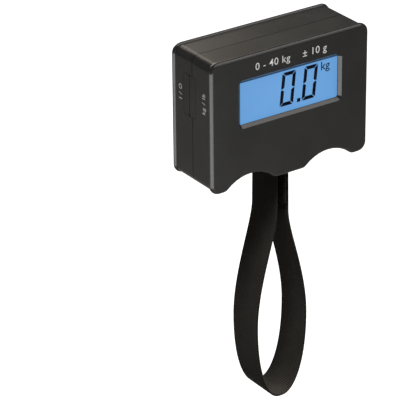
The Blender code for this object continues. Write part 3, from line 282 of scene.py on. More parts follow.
class Effect(Wiring):
    """A surface effect that finishes share: one node group with named inputs and outputs."""

    def __init__(self, name: str, **inputs: Optional[float]) -> None:
        """Makes the group and its inputs.

        Args:
            name: What the group is called.
            inputs: Each input's first number, or None for a vector, with spaces as underscores.
        """
        super().__init__(bpy.data.node_groups.new(name, "ShaderNodeTree"))
        for label, start in inputs.items():
            kind = "NodeSocketVector" if start is None else "NodeSocketFloat"
            made = self.tree.interface.new_socket(label.replace("_", " "), in_out="INPUT", socket_type=kind)
            if start is not None:
                made.default_value = start
        self.given = self.add("NodeGroupInput").outputs

    def give(self, **results: Socket) -> Tree:
        """Ends the group with those named outputs, and hands it over.

        Args:
            results: Each output's name and what feeds it.

        Returns:
            The finished group.
        """
        for label in results:
            self.tree.interface.new_socket(label, in_out="OUTPUT", socket_type="NodeSocketFloat")
        end = self.add("NodeGroupOutput")
        for label, socket in results.items():
            self.put(end.inputs[label], socket)
        return self.tree


@cache
def moulded_grain() -> Tree:
    """The fine sparked texture of a plastic mould: a height of small pits and a soft cloudy shade.

    Returns:
        The group, with outputs Height and Cloud.
    """
    w = Effect("moulded grain", Place=None, Grain_Size=0.0003, Cloud_Size=0.02)
    place = w.given["Place"]
    per_metre = w.math("DIVIDE", 1.0, w.given["Grain Size"])
    fine = w.noise(place, per_metre, 3.0, 0.62)
    coarse = w.noise(place, w.times(per_metre, 0.33), 2.0, 0.5)
    cloud = w.noise(place, w.math("DIVIDE", 1.0, w.given["Cloud Size"]), 3.0, 0.55)
    return w.give(Height=w.plus(w.times(fine, 0.7), w.times(coarse, 0.3)), Cloud=w.remap(cloud, 0.32, 0.68))


@cache
def rounded_edge() -> Tree:
    """Where a boxy moulding turns a corner: 0 on flats and 1 on the middle of a rounding.

    Returns:
        The group, with outputs Edge and Worn, the rounding broken by noise, used to paint roundings lighter
        partly as wear and partly as a painted highlight.
    """
    w = Effect("rounded edge", Direction=None, Place=None, Flat=0.995, Turned=0.80)
    node = w.add("ShaderNodeVectorMath", operation="ABSOLUTE")
    w.put(node.inputs[0], w.given["Direction"])
    x, y, z = w.separate(node.outputs[0])
    along = w.math("MAXIMUM", w.math("MAXIMUM", x, y), z)
    turn = w.remap(along, w.given["Flat"], w.given["Turned"])
    broken = w.noise(w.given["Place"], 420.0, 3.0, 0.6)
    return w.give(Edge=turn, Worn=w.times(turn, w.remap(broken, 0.40, 0.62, 0.45, 1.0)))


@cache
def dust_and_scuffs() -> Tree:
    """Faint dust in patches and a few fine scuffs in two directions.

    Returns:
        The group, with outputs Dust and Scuff.
    """
    w = Effect("dust and scuffs", Place=None, Amount=1.0)
    place, amount = w.given["Place"], w.given["Amount"]
    specks = w.remap(w.noise(place, 1900.0, 2.0, 0.7), 0.60, 0.78)
    patches = w.remap(w.noise(place, 60.0, 2.0, 0.5), 0.42, 0.66)
    first = w.noise(w.scaled(place, (90.0, 900.0, 2600.0)), 1.0, 1.0, 0.5)
    second = w.noise(w.scaled(place, (2400.0, 700.0, 110.0)), 1.0, 1.0, 0.5)
    streaks = w.math("MAXIMUM", w.remap(first, 0.70, 0.78), w.remap(second, 0.71, 0.78))
    return w.give(Dust=w.times(w.times(specks, patches), amount), Scuff=w.times(streaks, amount))


@cache
def ribbed_weave() -> Tree:
    """Ribbed webbing: ribs across the strap, the yarns that cross them, uneven dye, and a tone that paints
    shade in the grooves and light on the rib tops.

    Returns:
        The group, with outputs Height, Tone and Groove.
    """
    w = Effect("ribbed weave", Place=None, Along=0.0, Across=0.0, Rib_Pitch=0.001, Yarn_Pitch=0.0008)
    place = w.given["Place"]
    wobble = w.times(w.math("SUBTRACT", w.noise(place, 700.0), 0.5), 0.9)
    turns = w.math("DIVIDE", w.given["Along"], w.given["Rib Pitch"])
    rib = w.line(w.math("COSINE", w.plus(w.times(turns, 2 * pi), wobble)), 0.5, 0.5)
    odd = w.times(w.math("FLOOR", turns), pi)
    yarn_turns = w.math("DIVIDE", w.given["Across"], w.given["Yarn Pitch"])
    yarn_at = w.plus(w.times(yarn_turns, 2 * pi), w.plus(odd, wobble))
    yarn = w.line(w.math("COSINE", yarn_at), 0.5, 0.5)
    fibre = w.noise(w.scaled(place, (5200.0, 2200.0, 5200.0)), 1.0, 2.0, 0.7)
    height = w.plus(w.plus(w.times(rib, 0.65), w.times(yarn, 0.12)), w.times(fibre, 0.30))
    dye = w.noise(place, 85.0, 3.0, 0.6)
    # Painted shade and light: the rib height darkens the grooves and lightens the rib tops, mixed with
    # uneven dye.
    rib_shade_and_dye = w.plus(w.times(height, 0.65), w.times(dye, 0.35))
    return w.give(Height=height, Tone=w.remap(rib_shade_and_dye, 0.25, 0.85), Groove=w.math("SUBTRACT", 1.0, rib))


@cache
def drawn_metal() -> Tree:
    """Metal with fine lines along one direction and patches where the plating is duller.

    Returns:
        The group, with outputs Height and Patch.
    """
    w = Effect("drawn metal", Place=None, Stretch=None)
    lines = w.noise(w.scaled(w.given["Place"], w.given["Stretch"]), 1.0, 3.0, 0.6)
    patches = w.noise(w.given["Place"], 240.0, 3.0, 0.6)
    return w.give(Height=lines, Patch=w.remap(patches, 0.38, 0.66))


# ---------------------------------------------------------------- finishes


class Surface:
    """One material being made: its wiring, its Principled shader and where points are on the piece."""

    def __init__(self, name: str) -> None:
        """Makes an empty material of that name.

        Args:
            name: The material's name.
        """
        self.material = bpy.data.materials.new(name)
        self.material.use_nodes = True
        self.material.node_tree.nodes.clear()
        self.wiring = Wiring(self.material.node_tree)
        self.shader = self.wiring.add("ShaderNodeBsdfPrincipled")
        out = self.wiring.add("ShaderNodeOutputMaterial")
        self.wiring.put(out.inputs["Surface"], self.shader.outputs[0])
        self.coordinates = self.wiring.add("ShaderNodeTexCoord")
        self.place = self.coordinates.outputs["Object"]

    def effect(self, tree: Tree, **values: object) -> Sockets:
        """Places a shared effect in this material.

        Args:
            tree: The effect's group.
            values: Sockets or numbers for its inputs, with spaces in their names written as underscores.

        Returns:
            The effect's outputs.
        """
        node = self.wiring.add("ShaderNodeGroup")
        node.node_tree = tree
        if "Place" in node.inputs and "Place" not in values:
            self.wiring.put(node.inputs["Place"], self.place)
        for name, value in values.items():
            self.wiring.put(node.inputs[name.replace("_", " ")], value)
        return node.outputs

    def plain(self, **values: object) -> None:
        """Sets or links sockets of the shader, with spaces in their names written as underscores.

        Args:
            values: Sockets or plain values by the name of the shader's socket.
        """
        for name, value in values.items():
            socket = self.shader.inputs[name.replace("_", " ")]
            if isinstance(value, tuple) and len(value) == 3 and socket.type == "RGBA":
                value = (*value, 1.0)
            self.wiring.put(socket, value)


class Finish:
    """A finish that can be made into a material."""

    def make(self, name: str) -> Material:
        """The finish as a material of that name.

        Args:
            name: The material's name.

        Returns:
            The material.
        """
        s = Surface(name)
        self.coat(s, s.wiring)
        return s.material

    def coat(self, s: Surface, w: Wiring) -> None:
        """Wires the finish on an empty surface, which each kind of finish does in its own way."""
        raise NotImplementedError


@dataclass(frozen=True)
class MouldedPlastic(Finish):
    """Moulded plastic with a sparked grain, lighter roundings that are partly wear and partly a painted
    highlight, and a little dust.
    """

    color: Color
    roughness: float = 0.42
    grain: float = 0.00028
    grain_height: float = 0.000012
    cloud: float = 0.10
    # How much lighter the roundings are painted: partly wear, partly a painted highlight.
    edge_wear_highlight: float = 0.35
    dust: float = 0.25

    def coat(self, s: Surface, w: Wiring) -> None:
        """Wires the grain, the cloudy shade, the lighter roundings (wear and a painted highlight) and the
        dust.

        Args:
            s: The surface to finish.
            w: Its wiring.
        """
        grain = s.effect(moulded_grain(), Grain_Size=self.grain)
        edge = s.effect(rounded_edge(), Direction=s.coordinates.outputs["Normal"])
        marks = s.effect(dust_and_scuffs(), Amount=self.dust)
        darker = tuple(v * (1 - self.cloud) for v in self.color)
        lighter = tuple(v * (1 + self.cloud) for v in self.color)
        # Roundings painted lighter: partly wear, partly a painted highlight that stands in for the lamps'
        # reflection.
        worn_highlit_color = tuple(v * 1.9 + 0.006 for v in self.color)
        dusty = tuple(0.55 * v + 0.09 for v in self.color)
        body = w.mix(grain["Cloud"], darker, lighter)
        body = w.mix(w.times(edge["Worn"], self.edge_wear_highlight), body, worn_highlit_color)
        body = w.mix(marks["Dust"], body, dusty)
        dull = w.line(grain["Cloud"], 0.06, self.roughness - 0.03)
        dull = w.line(edge["Edge"], -0.15, dull)
        dull = w.line(marks["Scuff"], -0.12, dull)
        s.plain(
            Base_Color=body,
            Roughness=w.line(marks["Dust"], 0.2, dull),
            Normal=w.bump(grain["Height"], 0.6, self.grain_height),
        )


@dataclass(frozen=True)
class Rubber(Finish):
    """Soft rubber or silicone: dull, faintly sticky with dust."""

    color: Color
    roughness: float = 0.7

    def coat(self, s: Surface, w: Wiring) -> None:
        """Wires the grain, the dust and the scuffs.

        Args:
            s: The surface to finish.
            w: Its wiring.
        """
        grain = s.effect(moulded_grain(), Grain_Size=0.0006, Cloud_Size=0.004)
        marks = s.effect(dust_and_scuffs(), Amount=0.7)
        body = w.mix(grain["Cloud"], tuple(0.85 * v for v in self.color), self.color)
        s.plain(
            Base_Color=w.mix(marks["Dust"], body, (0.22, 0.21, 0.19)),
            Roughness=w.line(marks["Scuff"], -0.2, self.roughness),
            Normal=w.bump(grain["Height"], 0.5, 0.00003),
            Sheen_Weight=0.15,
        )


@dataclass(frozen=True)
class PlatedMetal(Finish):
    """Plated, machined or rolled metal with fine lines and duller patches."""

    color: Color
    roughness: float = 0.28
    stretch: Point = (300.0, 9000.0, 9000.0)
    line_height: float = 0.000006
    tarnish: Color = (0.30, 0.28, 0.25)
    tarnish_share: float = 0.35

    def coat(self, s: Surface, w: Wiring) -> None:
        """Wires the lines, the duller patches and the scuffs.

        Args:
            s: The surface to finish.
            w: Its wiring.
        """
        drawn = s.effect(drawn_metal(), Stretch=self.stretch)
        edge = s.effect(rounded_edge(), Direction=s.coordinates.outputs["Normal"])
        marks = s.effect(dust_and_scuffs(), Amount=0.5)
        body = w.mix(w.times(drawn["Patch"], self.tarnish_share), self.color, self.tarnish)
        bare = tuple(min(1.0, 1.15 * v) for v in self.color)
        body = w.mix(w.times(edge["Worn"], 0.3), body, bare)
        dull = w.line(drawn["Patch"], 0.14, self.roughness)
        s.plain(
            Base_Color=body,
            Metallic=1.0,
            Roughness=w.line(marks["Scuff"], 0.15, dull),
            Normal=w.bump(drawn["Height"], 0.5, self.line_height),
        )


@dataclass(frozen=True)
class ClearPlastic(Finish):
    """A polished clear pane."""

    tint: Color = (0.96, 0.98, 1.0)
    roughness: float = 0.02

    def coat(self, s: Surface, w: Wiring) -> None:
        """Wires a hair of scuffing into the polish.

        Args:
            s: The surface to finish.
            w: Its wiring.
        """
        marks = s.effect(dust_and_scuffs(), Amount=0.4)
        s.plain(
            Base_Color=self.tint,
            Transmission_Weight=1.0,
            IOR=1.2,
            Roughness=w.line(marks["Scuff"], 0.05, self.roughness),
        )


@dataclass(frozen=True)
class LitGlass(Finish):
    """The display's glass, evenly lit from behind through its diffuser, a little brighter at the middle,
    with a painted shadow of the bezel along its top and left edges.
    """

    low: Color = (0.125, 0.325, 0.64)
    high: Color = (0.150, 0.360, 0.68)
    # The colour of the painted bezel shadow on the glow.
    shade: Color = (0.020, 0.045, 0.10)
    strength: float = 1.0
    roughness: float = 0.18
    # Where the painted bezel shadow starts at the top and at the left, and how soft its edge is.
    top_shade: float = -0.0140
    left_shade: float = -0.0260
    shade_blur: float = 0.0002
    half_width: float = 0.029
    half_height: float = 0.013
    middle_height: float = -0.0232

    def coat(self, s: Surface, w: Wiring) -> None:
        """Wires the glow with the painted bezel shadow along its top and left edges, and the glass's fine
        grain.

        Args:
            s: The surface to finish.
            w: Its wiring.
        """
        x, _, z = w.separate(s.place)
        sideways = w.math("ABSOLUTE", w.math("DIVIDE", x, self.half_width))
        above = w.math("SUBTRACT", z, self.middle_height)
        upright = w.math("ABSOLUTE", w.math("DIVIDE", above, self.half_height))
        far = w.math("MAXIMUM", sideways, upright)
        weave = w.noise(s.place, 2600.0, 2.0, 0.5)
        glow = w.line(weave, 0.12, w.remap(far, 0.35, 1.0, 0.94, 0.35))
        # Painted shadow of the bezel: the glow darkens above top_shade and left of left_shade.
        under_top = w.remap(z, self.top_shade - self.shade_blur, self.top_shade, 1.0, 0.0)
        beside_left = w.remap(x, self.left_shade, self.left_shade + self.shade_blur, 0.15, 1.0)
        lit = w.times(under_top, beside_left)
        grain = s.effect(moulded_grain(), Grain_Size=0.00035)
        s.plain(
            Base_Color=w.mix(glow, (0.02, 0.06, 0.12), (0.03, 0.08, 0.15)),
            Emission_Color=w.mix(lit, self.shade, w.mix(glow, self.low, self.high)),
            Emission_Strength=self.strength,
            Roughness=self.roughness,
            Specular_IOR_Level=0.2,
            Normal=w.bump(grain["Height"], 0.25, 0.000004),
        )


@dataclass(frozen=True)
class Ink(Finish):
    """Pad-printed or liquid-crystal ink: thin, slightly uneven in cover, with an optional painted glow that
    makes it read lighter.
    """

    color: Color
    thin: Color
    roughness: float = 0.5
    glow: float = 0.0
    shine: float = 0.5

    def coat(self, s: Surface, w: Wiring) -> None:
        """Wires the uneven cover and, where set, the painted glow.

        Args:
            s: The surface to finish.
            w: Its wiring.
        """
        grain = s.effect(moulded_grain(), Grain_Size=0.00022, Cloud_Size=0.0025)
        cover = w.remap(grain["Height"], 0.38, 0.60)
        body = w.mix(w.times(w.math("SUBTRACT", 1.0, cover), 0.4), self.color, self.thin)
        s.plain(Base_Color=body, Roughness=w.line(grain["Cloud"], 0.08, self.roughness))
        s.plain(Specular_IOR_Level=self.shine)
        # Painted light: the glow is emission that makes the ink read lighter than the lamps make it.
        if self.glow:
            s.plain(Emission_Color=body, Emission_Strength=self.glow)


@dataclass(frozen=True)
class Webbing(Finish):
    """Black ribbed webbing: woven ribs with painted shade in the grooves and painted light, brownish, on the
    rib tops, fuzzy at a low angle.
    """

    # Painted shade in the grooves and painted light, brownish, on the rib tops.
    groove_shade: Color = (0.0035, 0.0033, 0.0031)
    top: Color = (0.0410, 0.0370, 0.0315)
    rib_pitch: float = 0.00105
    yarn_pitch: float = 0.0008
    rib_height: float = 0.00005
    roughness: float = 0.82

    def coat(self, s: Surface, w: Wiring) -> None:
        """Wires the weave, read along and across the strap by its own lengthwise map.

        Args:
            s: The surface to finish.
            w: Its wiring.
        """
        lay = w.add("ShaderNodeUVMap", uv_map=WEBBING_MAP)
        along, across, _ = w.separate(lay.outputs[0])
        weave = s.effect(
            ribbed_weave(),
            Along=along,
            Across=across,
            Rib_Pitch=self.rib_pitch,
            Yarn_Pitch=self.yarn_pitch,
        )
        marks = s.effect(dust_and_scuffs(), Amount=0.35)
        # The grooves are painted dark as shade, and the rib tops brownish as lit.
        body = w.mix(weave["Tone"], self.groove_shade, self.top)
        s.plain(
            Base_Color=w.mix(marks["Dust"], body, (0.10, 0.095, 0.09)),
            Roughness=w.line(weave["Groove"], 0.12, self.roughness - 0.06),
            Normal=w.bump(weave["Height"], 0.85, self.rib_height),
            Sheen_Weight=0.10,
            Sheen_Roughness=0.45,
            Sheen_Tint=(0.75, 0.72, 0.68, 1.0),
            Specular_IOR_Level=0.15,
        )


@dataclass(frozen=True)
class CircuitBoard(Finish):
    """Solder mask over tracks, with bare pads and a pale legend grid."""

    mask: Color = (0.010, 0.085, 0.032)
    track: Color = (0.022, 0.165, 0.062)
    pad: Color = (0.55, 0.50, 0.36)

    def coat(self, s: Surface, w: Wiring) -> None:
        """Wires the tracks, the pads and the mask's cloudy shade.

        Args:
            s: The surface to finish.
            w: Its wiring.
        """
        cells = w.add("ShaderNodeTexVoronoi", feature="DISTANCE_TO_EDGE")
        w.put(cells.inputs["Vector"], s.place)
        cells.inputs["Scale"].default_value = 420.0
        cells.inputs["Randomness"].default_value = 0.35
        tracks = w.remap(cells.outputs["Distance"], 0.06, 0.09, 1.0, 0.0)
        dots = w.add("ShaderNodeTexVoronoi", feature="F1")
        w.put(dots.inputs["Vector"], s.place)
        dots.inputs["Scale"].default_value = 260.0
        dots.inputs["Randomness"].default_value = 0.5
        pads = w.remap(dots.outputs["Distance"], 0.10, 0.13, 1.0, 0.0)
        grain = s.effect(moulded_grain(), Grain_Size=0.0005, Cloud_Size=0.006)
        body = w.mix(tracks, self.mask, self.track)
        body = w.mix(w.times(grain["Cloud"], 0.25), body, self.track)
        height = w.plus(w.times(tracks, 0.6), w.times(pads, 0.4))
        s.plain(
            Base_Color=w.mix(pads, body, self.pad),
            Metallic=w.times(pads, 0.9),
            Roughness=w.line(pads, -0.05, 0.34),
            Normal=w.bump(height, 0.6, 0.00004),
            Coat_Weight=0.3,
        )


def insulation(color: Color, roughness: float = 0.33) -> MouldedPlastic:
    """The soft plastic round a wire."""
    return MouldedPlastic(color, roughness, grain=0.0006, edge_wear_highlight=0.0)


class Paints:
    """Every finish on the scale by its plain name, made once and handed out."""

    def __init__(self) -> None:
        """Lists the recipes and starts with no material made."""
        steel = (0.60, 0.61, 0.62)
        black = (0.012, 0.012, 0.012)
        self.recipes: dict[str, Finish] = {
            "case_plastic": MouldedPlastic((0.0160, 0.0154, 0.0145), roughness=0.33),
            "button_plastic": MouldedPlastic((0.0158, 0.0152, 0.0143), roughness=0.33, grain=0.0002),
            "guide_plastic": MouldedPlastic(black, roughness=0.3, cloud=0.05, edge_wear_highlight=0.2),
            "holder_plastic": MouldedPlastic((0.02, 0.02, 0.021), roughness=0.5, edge_wear_highlight=0.15),
            "frame_plastic": MouldedPlastic((0.72, 0.72, 0.69), roughness=0.4, edge_wear_highlight=0.05, dust=0.1),
            "plunger_plastic": MouldedPlastic((0.42, 0.05, 0.04), roughness=0.35, edge_wear_highlight=0.1),
            "switch_plastic": MouldedPlastic((0.016, 0.016, 0.018), roughness=0.4, grain=0.0002),
            "diffuser": MouldedPlastic((0.50, 0.72, 0.92), roughness=0.3, edge_wear_highlight=0.1, dust=0.0),
            "epoxy": MouldedPlastic((0.008, 0.008, 0.009), roughness=0.16, grain=0.0012, dust=0.1),
            "capacitor_sleeve": MouldedPlastic((0.016, 0.022, 0.10), 0.22, grain=0.0008, dust=0.1),
            "red_insulation": insulation((0.45, 0.015, 0.012)),
            "black_insulation": insulation(black),
            "grey_insulation": insulation((0.34, 0.34, 0.33), roughness=0.4),
            "clear_window": ClearPlastic(),
            "lcd_panel": LitGlass(),
            "elastomer": Rubber((0.02, 0.02, 0.02)),
            "seal_rubber": Rubber((0.05, 0.045, 0.04)),
            "silicone": Rubber((0.72, 0.72, 0.68), roughness=0.5),
            "circuit_board": CircuitBoard(),
            "aluminium_bar": PlatedMetal((0.74, 0.75, 0.76), roughness=0.3, tarnish_share=0.15),
            "zinc_steel": PlatedMetal((0.58, 0.58, 0.56), 0.36, stretch=(7000.0, 7000.0, 260.0)),
            "bright_steel": PlatedMetal(steel, 0.24, stretch=(5000.0,) * 3, tarnish_share=0.2),
            "cell_steel": PlatedMetal(steel, 0.3, stretch=(600.0,) * 3, tarnish_share=0.12),
            "spring_brass": PlatedMetal((0.70, 0.60, 0.36), roughness=0.3, tarnish=(0.32, 0.22, 0.10)),
            "webbing": Webbing(),
            "stitch_thread": Webbing((0.008, 0.008, 0.008), (0.060, 0.055, 0.048), rib_height=0.00002),
            # The white print glows with painted light, to read brighter.
            "white_ink": Ink((0.86, 0.86, 0.85), (0.62, 0.62, 0.61), glow=0.25),
            "crystal_ink": Ink((0.0010, 0.0030, 0.022), (0.0014, 0.0045, 0.028), glow=0.05, shine=0.05),
            "unit_ink": Ink((0.0010, 0.0060, 0.036), (0.0016, 0.0085, 0.046), glow=0.10, shine=0.05),
        }
        self.made: dict[str, Material] = {}

    def get(self, name: str) -> Material:
        """The material of that name.

        Args:
            name: The finish's name.

        Returns:
            Its material, the same one each time.
        """
        if name not in self.made:
            self.made[name] = self.recipes[name].make(name)
        return self.made[name]


# ---------------------------------------------------------------- pieces


def linked(name: str, data: object) -> Piece:
    """A new object in the scene, showing the data given.

    Args:
        name: The object's name.
        data: Its mesh, curve, lamp or camera.

    Returns:
        The object.
    """
    obj = bpy.data.objects.new(name, data)
    bpy.context.scene.collection.objects.link(obj)
    return obj


class Workshop:
    """Puts pieces into the scene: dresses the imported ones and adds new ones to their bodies."""

    same_point: float = 0.000002
    sharp_from: float = radians(38)

    def __init__(self, nodes: dict[str, Piece], paints: Paints) -> None:
        """Works on the frame's nodes with those finishes.

        Args:
            nodes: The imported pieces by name.
            paints: The finishes.
        """
        self.nodes = nodes
        self.paints = paints
        self.shading = self.shading_group()

    def shading_group(self) -> Tree:
        """The modifier's node group that shades roundings smooth and leaves real edges sharp.

        Returns:
            The node group.
        """
        tree = bpy.data.node_groups.new("soft shading", "GeometryNodeTree")
        tree.interface.new_socket("Geometry", in_out="INPUT", socket_type="NodeSocketGeometry")
        tree.interface.new_socket("Geometry", in_out="OUTPUT", socket_type="NodeSocketGeometry")
        w = Wiring(tree)
        start, end = w.add("NodeGroupInput"), w.add("NodeGroupOutput")
        forget = w.add("GeometryNodeRemoveAttribute")
        forget.inputs["Name"].default_value = "custom_normal"
        merge = w.add("GeometryNodeMergeByDistance")
        merge.inputs["Distance"].default_value = self.same_point
        faces = w.add("GeometryNodeSetShadeSmooth", domain="FACE")
        edges = w.add("GeometryNodeSetShadeSmooth", domain="EDGE")
        angle = w.add("GeometryNodeInputMeshEdgeAngle")
        gentle = w.math("LESS_THAN", angle.outputs[0], self.sharp_from)
        chain = (start, forget, merge, faces, edges, end)
        for before, after in zip(chain, chain[1:]):
            w.put(after.inputs[0], before.outputs[0])
        w.put(edges.inputs["Shade Smooth"], gentle)
        return tree

    def dress(self, node: str, paint: str) -> None:
        """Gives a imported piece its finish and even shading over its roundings.

        Args:
            node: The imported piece's name.
            paint: The finish's name.
        """
        obj = self.nodes[node]
        material = self.paints.get(paint)
        if not obj.material_slots:
            obj.data.materials.append(material)
        for held in obj.material_slots:
            held.material = material
        obj.modifiers.new("soft shading", "NODES").node_group = self.shading
        obj.modifiers.new("even flats", "WEIGHTED_NORMAL").keep_sharp = True
        LOG.info("dressed %s in %s", node, paint)

    def add(self, name: str, mesh: Mesh, paint: str, body: Body, slot: Slot) -> Piece:
        """Adds a new piece.

        Args:
            name: The piece's name.
            mesh: Its mesh, in place.
            paint: Its finish's name.
            body: What it moves with.
            slot: The record's slot that its finish belongs to; not used.

        Returns:
            The new object.
        """
        obj = linked(name, mesh)
        mesh.materials.clear()
        mesh.materials.append(self.paints.get(paint))
        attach(obj, body.value)
        LOG.info("added %s with %d faces", name, len(mesh.polygons))
        return obj


def mesh_from(
    name: str, points: Sequence[Point], faces: Sequence[Sequence[int]], smooth: bool = True
) -> Mesh:
    """A mesh of those points and faces, shaded smooth or flat.

    Args:
        name: The mesh's name.
        points: Its points.
        faces: Its faces, as places in the list of points.
        smooth: Whether it is shaded smooth.

    Returns:
        The mesh.
    """
    mesh = bpy.data.meshes.new(name)
    mesh.from_pydata([tuple(p) for p in points], [], [tuple(f) for f in faces])
    mesh.update()
    if smooth:
        mesh.shade_smooth()
    return mesh


def skin(rows: int, around: int, closed: bool) -> list[tuple[int, ...]]:
    """The faces of a tube whose points are laid row by row, with flat ends unless it is closed.

    Args:
        rows: How many rows of points there are.
        around: How many points a row has.
        closed: Whether the last row joins the first.

    Returns:
        The faces, as places in the list of points.
    """
    faces = []
    for a in range(rows if closed else rows - 1):
        low, high = a * around, (a + 1) % rows * around
        for k in range(around):
            n = (k + 1) % around
            faces.append((low + k, high + k, high + n, low + n))
    if not closed:
        faces += [tuple(range(around)), tuple(reversed(range((rows - 1) * around, rows * around)))]
    return faces


def joined(name: str, meshes: Iterable[Mesh]) -> Mesh:
    """One mesh that holds all those given.

    Args:
        name: The new mesh's name.
        meshes: What it holds.

    Returns:
        The new mesh.
    """
    made = bmesh.new()
    for mesh in meshes:
        made.from_mesh(mesh)
    result = bpy.data.meshes.new(name)
    made.to_mesh(result)
    made.free()
    return result


def facing(origin: Point, right: Point, up: Point) -> Matrix:
    """The placement that lays flat shapes at origin with their X along right and their Y along up.

    Args:
        origin: Where the flat shape starts.
        right: Its X.
        up: Its Y.

    Returns:
        The placement.
    """
    x, y = Vector(right), Vector(up)
    z = x.cross(y)
    placed = Matrix((x, y, z)).transposed().to_4x4()
    placed.translation = Vector(origin)
    return placed


@dataclass(frozen=True)
class Lettering:
    """Flat characters or shapes, raised a hair over what they are printed on.

    Args:
        height: A capital's height.
        bolder: How much wider each stroke is made.
        spacing: The space between characters, where 1 is the font's own.
        film: Half of the ink's thickness.
        capital_share: A capital's height as a share of the font's size.
    """

    height: float
    bolder: float = 0.0
    spacing: float = 1.0
    film: float = 0.00002
    capital_share: float = 0.682

    def text(self, name: str, words: str, placed: Matrix) -> Mesh:
        """The words as a mesh that starts at the placement's origin.

        Args:
            name: The mesh's name.
            words: What it says.
            placed: Where it lies.

        Returns:
            The mesh, in place.
        """
        curve = bpy.data.curves.new(name, "FONT")
        curve.body = words
        curve.size = self.height / self.capital_share
        curve.offset = self.bolder
        curve.space_character = self.spacing
        curve.extrude = self.film
        curve.resolution_u = 4
        holder = linked(name, curve)
        drawn = holder.evaluated_get(bpy.context.evaluated_depsgraph_get())
        mesh = bpy.data.meshes.new_from_object(drawn)
        bpy.data.objects.remove(holder)
        bpy.data.curves.remove(curve)
        mesh.transform(placed)
        return mesh

    def outline(self, name: str, corners: Sequence[Flat], placed: Matrix) -> Mesh:
        """A flat shape with those corners, as thick as the ink.

        Args:
            name: The mesh's name.
            corners: Its corners in order.
            placed: Where it lies.

        Returns:
            The mesh, in place.
        """
        count = len(corners)
        low = [(x, y, -self.film) for x, y in corners]
        high = [(x, y, self.film) for x, y in corners]
        walls = [(i, (i + 1) % count, count + (i + 1) % count, count + i) for i in range(count)]
        faces = [tuple(reversed(range(count))), tuple(range(count, 2 * count)), *walls]
        mesh = mesh_from(name, low + high, faces, smooth=False)
        mesh.transform(placed)
        return mesh


def numbered(name: str, count: int) -> tuple[str, ...]:
    """The names of a row of like pieces, counted from 1."""
    return tuple(f"{name}_{i + 1}" for i in range(count))


class Assembly:
    """A sub-assembly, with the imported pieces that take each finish."""

    finishes: dict[str, tuple[str, ...]] = {}

    def dress(self, shop: Workshop) -> None:
        """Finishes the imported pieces.

        Args:
            shop: Where pieces are dressed and added.
        """
        for paint, nodes in self.finishes.items():
            for node in nodes:
                shop.dress(node, paint)


# ---------------------------------------------------------------- case


@dataclass
class CaseShell(Assembly):
    """The two moulded covers, the smooth ring round the strap's slot and the screws that close them."""

    finishes = {
        "case_plastic": ("front_cover", "rear_cover"),
        "guide_plastic": ("strap_guide",),
        "bright_steel": numbered("case_screw", 4),
    }
    front_y: float = -0.0160
    side_x: float = 0.0433
    print_lift: float = 0.00003
    capital: float = 0.0034
    load_place: Flat = (-0.0199, -0.0081)
    step_place: Flat = (0.0062, -0.0081)
    sign_capital: float = 0.0023
    power_place: Flat = (0.0083, -0.0250)
    tare_place: Flat = (-0.0102, -0.0262)
    tongue: float = 0.0006
    tongue_half_height: float = 0.0009
    tongue_right: float = 0.0424
    tongue_top: float = -0.0014
    side_run: Flat = (-0.0590, -0.0050)
    corner_bottom: float = -0.0062
    top_half_run: float = 0.0370

    def seam_tongue(self, shop: Workshop) -> None:
        """Closes the seam from inside with the covers' moulded tongue, which keeps light out.

        Args:
            shop: Where pieces are dressed and added.
        """
        deep, half, right, top = self.tongue, self.tongue_half_height, self.tongue_right, self.tongue_top
        corner = right - 2 * deep
        runs = (
            ((right - deep, right), self.side_run),
            ((corner - deep, corner), (self.corner_bottom, top - deep)),
            ((-self.top_half_run, self.top_half_run), (top - deep, top)),
        )
        quads = ((0, 1, 3, 2), (4, 6, 7, 5), (0, 4, 5, 1), (2, 3, 7, 6), (0, 2, 6, 4), (1, 5, 7, 3))
        strips = []
        for x_ends, z_ends in runs:
            points = [(x, y, z) for x in x_ends for y in (-half, half) for z in z_ends]
            strips.append(mesh_from("seam_tongue", points, quads, smooth=False))
        shop.add("seam_tongue", joined("seam_tongue", strips), "case_plastic", Body.CASE, Slot.CASE)

    def front_print(self, shop: Workshop) -> None:
        """Prints the greatest load and the step over the display, as plain numbers with their units.

        Args:
            shop: Where pieces are dressed and added.
        """
        y = self.front_y - self.print_lift
        style = Lettering(self.capital, bolder=0.00001, spacing=1.08)
        words = {"0 - 40 kg": self.load_place, "± 10 g": self.step_place}
        marks = [style.text("mark", word, facing((x, y, z), RIGHT, UP)) for word, (x, z) in words.items()]
        shop.add("front_print", joined("front_print", marks), "white_ink", Body.CASE, Slot.PRINT)

    def side_print(self, shop: Workshop) -> None:
        """Prints the two buttons' signs, which read upward on the left side.

        Args:
            shop: Where pieces are dressed and added.
        """
        x = -self.side_x - self.print_lift
        style = Lettering(self.sign_capital, bolder=0.00002, spacing=1.18)
        signs = {"power_print": ("I / O", self.power_place), "tare_print": ("kg / lb", self.tare_place)}
        for name, (words, (y, z)) in signs.items():
            sign = style.text(name, words, facing((x, y, z), UP, (0, 1, 0)))
            shop.add(name, sign, "white_ink", Body.CASE, Slot.PRINT)


# ---------------------------------------------------------------- display


class Segment(Enum):
    """The six bars that a digit's zero lights."""

    TOP = 0
    UPPER_RIGHT = 1
    LOWER_RIGHT = 2
    BOTTOM = 3
    LOWER_LEFT = 4
    UPPER_LEFT = 5


